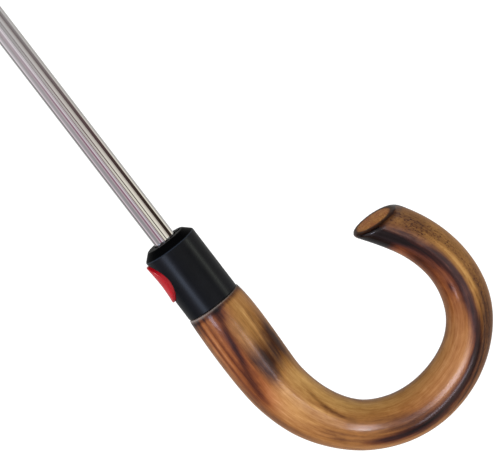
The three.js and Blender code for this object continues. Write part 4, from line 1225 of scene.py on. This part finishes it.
# ------------------------------------------------------------------ closing strap and its stud
def make_strap():
    i = 5
    s0, s1 = INNER + OUTER / 2, INNER + 5 * OUTER / 6
    rows = np.linspace(s0, s1, 40)
    cols = np.array([-6, -5.7, -5.2, -3, 0, 3, 5.2, 5.7, 6])
    alpha = i * 2 * HALF
    tangent = np.array([-math.sin(alpha), math.cos(alpha), 0])
    lay = []
    for layer in (1, 0):
        g = []
        for k, s in enumerate(rows):
            r, z, f = (float(x) for x in rib(s))
            end = min(s - s0, s1 - s)
            narrow = 1 - 0.55 * max(0.0, 1 - (s - s0) / 7.0) ** 2        # rounded free end
            row = []
            for c in cols:
                e = 0.18 if abs(c) > 5.6 or end < 0.2 else 0.0
                h = 3.25 + 0.12 * math.sin(s / 9.0) + (0.75 - e if layer else e)
                row.append(np.array([math.cos(alpha) * (r + h * math.sin(f)), math.sin(alpha) * (r + h * math.sin(f)), z + h * math.cos(f)]) + tangent * c * narrow)
            g.append(row)
        lay.append(np.array(g))
    top, under = lay
    nr, nc = top.shape[:2]
    off = nr * nc
    verts = np.concatenate([top.reshape(-1, 3), under.reshape(-1, 3)])
    faces = grid_faces(nr, nc) + [tuple(reversed(f)) for f in grid_faces(nr, nc, base=off)]
    for j in range(nc - 1):
        faces.append((j, off + j, off + j + 1, j + 1))
        a = (nr - 1) * nc
        faces.append((a + j, a + j + 1, off + a + j + 1, off + a + j))
    for q in range(nr - 1):
        a = q * nc
        faces.append((a, a + nc, off + a + nc, off + a))
        b = a + nc - 1
        faces.append((b, off + b, off + b + nc, b + nc))
    wv = np.stack([np.tile(cols * 0.5, nr), np.repeat(rows, nc), np.full(nr * nc, 300.0)], 1)
    ob = mesh_object("closing_band", verts, faces, 50, {"weave": np.concatenate([wv, wv])})
    dress(ob, CLOTH)
    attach(ob, "rib_outer_6")
    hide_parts("closing_strap")
    s = INNER + 4.75 * OUTER / 6
    r, z, f = (float(x) for x in rib(s))
    prof = fillet([(0, 0), (4.6, 0, 0.15), (4.6, 0.55, 0.25), (3.9, 0.75, 0.2), (3.6, 1.35, 0.3), (2.4, 1.5, 0.2), (2.0, 1.25, 0.2), (0, 1.2)], n=4)
    st = lathe("press_stud", prof, 48)
    me = st.data
    h = 4.30
    me.transform(Matrix.Rotation(f, 4, "Y"))
    me.transform(Matrix.Translation(((r + h * math.sin(f)) * MM, 0, (z + h * math.cos(f)) * MM)))
    me.transform(Matrix.Rotation(alpha, 4, "Z"))
    dress(st, SNAP)
    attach(st, "rib_outer_6")
    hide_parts("strap_snap")


make_strap()

# ------------------------------------------------------------------ finishes on the CAD parts that stay
KEPT = {"spring_seat": STEEL, "seat_pin": STEEL, "drive_pin": STEEL, "spring_plunger": STEEL, "latch_plate": STEEL,
        "runner_wire": WIRE, "notch_wire": WIRE}
for n in range(1, RIBS + 1):
    KEPT[f"rib_inner_{n}"] = RIBSTEEL
    KEPT[f"stretcher_{n}"] = RIBSTEEL
    KEPT[f"rib_outer_{n}"] = FIBRE
    KEPT[f"rib_tip_{n}"] = BRIGHT
for name, material in KEPT.items():
    ob = NODES[name]
    if not ob.material_slots:
        ob.data.materials.append(material)
    for sl in ob.material_slots:
        sl.material = material

# ------------------------------------------------------------------ stage, light and camera
FLOOR_Z = -1.10
fl = bpy.data.meshes.new("floor")
fl.from_pydata([(-60, -60, FLOOR_Z), (60, -60, FLOOR_Z), (60, 60, FLOOR_Z), (-60, 60, FLOOR_Z)], [], [(0, 1, 2, 3)])
floor = bpy.data.objects.new("studio_floor", fl)
scene.collection.objects.link(floor)
fm = bpy.data.materials.new("studio_white")
fm.use_nodes = True
fb = fm.node_tree.nodes["Principled BSDF"]
fb.inputs["Base Color"].default_value = (0.88, 0.88, 0.88, 1)
fb.inputs["Roughness"].default_value = 0.9
fb.inputs["Specular IOR Level"].default_value = 0.1
fb.inputs["Emission Color"].default_value = (1, 1, 1, 1)
fb.inputs["Emission Strength"].default_value = 0.30
floor.data.materials.append(fm)
floor.visible_glossy = False

world = bpy.data.worlds.new("studio")
scene.world = world
world.use_nodes = True
wt = world.node_tree
wt.nodes.clear()
wo = wt.nodes.new("ShaderNodeOutputWorld")
plain = wt.nodes.new("ShaderNodeBackground")
plain.inputs["Color"].default_value = (1, 1, 1, 1)
plain.inputs["Strength"].default_value = 1.0
# what polished metal sees: a white tent with a darker gap or two in it
tent = wt.nodes.new("ShaderNodeBackground")
tc = wt.nodes.new("ShaderNodeTexCoord")
sx = wt.nodes.new("ShaderNodeSeparateXYZ")
wt.links.new(tc.outputs["Generated"], sx.inputs[0])
neg = wt.nodes.new("ShaderNodeMath")
neg.operation = "MULTIPLY"
neg.inputs[1].default_value = -1.0
wt.links.new(sx.outputs["Y"], neg.inputs[0])
az = wt.nodes.new("ShaderNodeMath")
az.operation = "ARCTAN2"          # 0 towards -Y, positive towards +X
wt.links.new(sx.outputs["X"], az.inputs[0])
wt.links.new(neg.outputs[0], az.inputs[1])
fr = wt.nodes.new("ShaderNodeMapRange")
wt.links.new(az.outputs[0], fr.inputs["Value"])
fr.inputs["From Min"].default_value = -math.pi
fr.inputs["From Max"].default_value = math.pi
cr = wt.nodes.new("ShaderNodeValToRGB")
STOPS = [(-180, (0.50, 0.50, 0.49)), (-104, (0.46, 0.46, 0.46)), (-98, (0.14, 0.15, 0.15)), (-86, (0.16, 0.17, 0.17)),
         (-80, (0.36, 0.36, 0.37)), (-77, (0.32, 0.17, 0.24)), (-73, (0.32, 0.17, 0.24)), (-69, (0.82, 0.73, 0.78)),
         (-60, (0.82, 0.74, 0.79)), (-53, (0.46, 0.44, 0.47)), (-42, (0.30, 0.30, 0.31)), (-39, (0.80, 0.66, 0.72)),
         (-31, (0.80, 0.66, 0.72)), (-28, (0.09, 0.04, 0.055)), (-15, (0.09, 0.04, 0.055)), (-11, (0.60, 0.58, 0.48)),
         (6, (0.70, 0.68, 0.58)), (14, (0.95, 0.92, 0.80)), (38, (0.95, 0.92, 0.80)), (41, (0.035, 0.022, 0.014)),
         (55, (0.035, 0.022, 0.014)), (59, (0.96, 0.92, 0.80)), (76, (0.96, 0.92, 0.80)), (82, (0.52, 0.50, 0.48)),
         (180, (0.50, 0.50, 0.49))]
# a little higher up the tent its gaps soften, first to maroon and then to grey
MIDDLE = dict(STOPS)
MIDDLE.update({-80: (0.42, 0.42, 0.43), -60: (0.84, 0.78, 0.82), -53: (0.56, 0.52, 0.56), -42: (0.42, 0.40, 0.42), -28: (0.20, 0.11, 0.13),
               -15: (0.24, 0.16, 0.18), -11: (0.50, 0.48, 0.47), 6: (0.52, 0.50, 0.49), 14: (0.62, 0.58, 0.56), 38: (0.56, 0.51, 0.50),
               41: (0.10, 0.045, 0.05), 55: (0.13, 0.065, 0.07), 59: (0.74, 0.69, 0.64), 76: (0.70, 0.66, 0.62)})
UPPER = dict(MIDDLE)
UPPER.update({-77: (0.50, 0.44, 0.49), -73: (0.62, 0.56, 0.61), -69: (0.82, 0.78, 0.82), -53: (0.70, 0.66, 0.70), -42: (0.46, 0.45, 0.46),
              -39: (0.88, 0.84, 0.88), -31: (0.82, 0.79, 0.82), -28: (0.44, 0.42, 0.44), -15: (0.40, 0.385, 0.40), -11: (0.38, 0.375, 0.38),
              6: (0.36, 0.355, 0.36), 14: (0.42, 0.41, 0.415), 38: (0.40, 0.385, 0.39), 41: (0.30, 0.28, 0.285), 55: (0.36, 0.34, 0.34),
              59: (0.60, 0.585, 0.585), 76: (0.58, 0.57, 0.57)})


def height_step(low, high):
    m = wt.nodes.new("ShaderNodeMapRange")
    m.interpolation_type = "SMOOTHSTEP"
    m.inputs["From Min"].default_value = low
    m.inputs["From Max"].default_value = high
    wt.links.new(sx.outputs["Z"], m.inputs["Value"])
    return m.outputs[0]


def tent_ramp(stops, node):
    el = node.color_ramp.elements
    while len(el) < len(stops):
        el.new(0.5)
    for e, (deg, c) in zip(el, stops):
        e.position = (deg + 180) / 360
        e.color = (*c, 1)
    wt.links.new(fr.outputs[0], node.inputs[0])
    return node.outputs[0]


colour = tent_ramp(STOPS, cr)
for stops, low, high in ((MIDDLE, -0.134, -0.121), (UPPER, -0.122, -0.104)):
    blend = wt.nodes.new("ShaderNodeMixRGB")
    wt.links.new(height_step(low, high), blend.inputs[0])
    wt.links.new(colour, blend.inputs[1])
    wt.links.new(tent_ramp(sorted(stops.items()), wt.nodes.new("ShaderNodeValToRGB")), blend.inputs[2])
    colour = blend.outputs[0]
wt.links.new(colour, tent.inputs["Color"])
tent.inputs["Strength"].default_value = 1.0
lp = wt.nodes.new("ShaderNodeLightPath")
mx = wt.nodes.new("ShaderNodeMixShader")
wt.links.new(lp.outputs["Is Glossy Ray"], mx.inputs[0])
wt.links.new(plain.outputs[0], mx.inputs[1])
wt.links.new(tent.outputs[0], mx.inputs[2])
wt.links.new(mx.outputs[0], wo.inputs[0])


def softbox(name, direction, distance, size, radiance, colour, target=(0.04, 0, -0.04), long_axis=None, sheen_only=False):
    d = Vector(direction).normalized()
    li = bpy.data.lights.new(name, "AREA")
    li.shape = "RECTANGLE"
    li.size, li.size_y = size
    li.energy = radiance * math.pi * size[0] * size[1]
    li.color = colour
    ob = bpy.data.objects.new(name, li)
    scene.collection.objects.link(ob)
    ob.location = Vector(target) + d * distance
    zaxis = d
    ref = Vector(long_axis) if long_axis else Vector((0, 0, 1))
    yaxis = (ref - ref.dot(zaxis) * zaxis).normalized()
    xaxis = yaxis.cross(zaxis)
    m = Matrix((xaxis, yaxis, zaxis)).transposed().to_4x4()
    m.translation = ob.location
    ob.matrix_world = m
    ob.visible_camera = False
    ob.visible_diffuse = not sheen_only
    return ob


crook_lamps = [
    softbox("strip_right", (0.123, -0.672, -0.731), 1.2, (0.12, 0.62), 12.0, (0.92, 0.86, 1.0), (0.053, -0.010, -0.093), (0.92, -0.256, 0.306)),
    softbox("front", (-0.040, -0.957, -0.288), 1.4, (0.14, 0.055), 75.0, (1.0, 0.98, 0.96), (0.018, -0.011, -0.081)),
    softbox("soft_front", (0.060, -0.984, -0.169), 1.5, (0.80, 0.50), 20.0, (0.96, 0.90, 1.0), (0.060, -0.011, -0.088), None, True),
    softbox("soft_left", (-0.70, -0.71, -0.02), 1.5, (0.34, 0.16), 20.0, (0.80, 0.80, 1.0), (-0.005, -0.012, -0.008)),
    softbox("overhead", (-0.05, -0.50, 0.85), 1.3, (0.55, 0.55), 36.0, (1.0, 0.98, 1.0), (0.076, -0.009, -0.016), None, True)]
collar_lamps = [
    softbox("collar_left", (-0.70, -0.70, -0.148), 1.5, (0.42, 1.0), 9.0, (0.62, 0.74, 1.0), (0, 0, 0.015)),
    softbox("collar_right", (0.942, -0.299, -0.148), 1.5, (0.14, 0.9), 9.0, (0.92, 1.0, 0.86), (0, 0, 0.015))]
button_lamps = [
    softbox("button_left", (-0.80, -0.36, 0.48), 1.2, (0.34, 0.34), 24.0, (1.0, 0.86, 0.92), (-0.012, -0.004, 0.022))]


def lights_only(lamps, name, pieces):
    """Each group of lamps draws the highlights of its own pieces."""
    group = bpy.data.collections.new(name)
    for piece in pieces:
        group.objects.link(bpy.data.objects[piece])
    for lamp in lamps:
        lamp.light_linking.receiver_collection = group


lights_only(crook_lamps, "crook_lit", ["crook"])
lights_only(collar_lamps, "collar_lit", ["collar"])
lights_only(button_lamps, "button_lit", ["button"])

cam = bpy.data.cameras.new("camera")
cam.sensor_width = 36.0
PX_PER_MM, DIST = 2.36, 3.0
cam.lens = 36.0 * DIST / (500 / PX_PER_MM * MM)
camera = bpy.data.objects.new("camera", cam)
scene.collection.objects.link(camera)
scene.camera = camera
elev, roll = math.radians(8.5), math.radians(37.4)
back = Vector((0, -math.cos(elev), math.sin(elev)))
up0 = Vector((0, math.sin(elev), math.cos(elev)))
right0 = Vector((1, 0, 0))
# the shaft leans left in the picture
up = up0 * math.cos(roll) + right0 * math.sin(roll)
right = right0 * math.cos(roll) - up0 * math.sin(roll)
# the joint at the collar falls at (213.2, 302.9)
dx, dy = (250 - 213.2) / PX_PER_MM * MM, (302.9 - 229.5) / PX_PER_MM * MM
target = Vector((0, 0, 0)) + right * dx + up * dy
mat = Matrix((right, up, back)).transposed().to_4x4()
mat.translation = target + back * DIST
camera.matrix_world = mat
cam.clip_start, cam.clip_end = 0.05, 200.0
scene.view_settings.view_transform = "Standard"
scene.view_settings.look = "None"
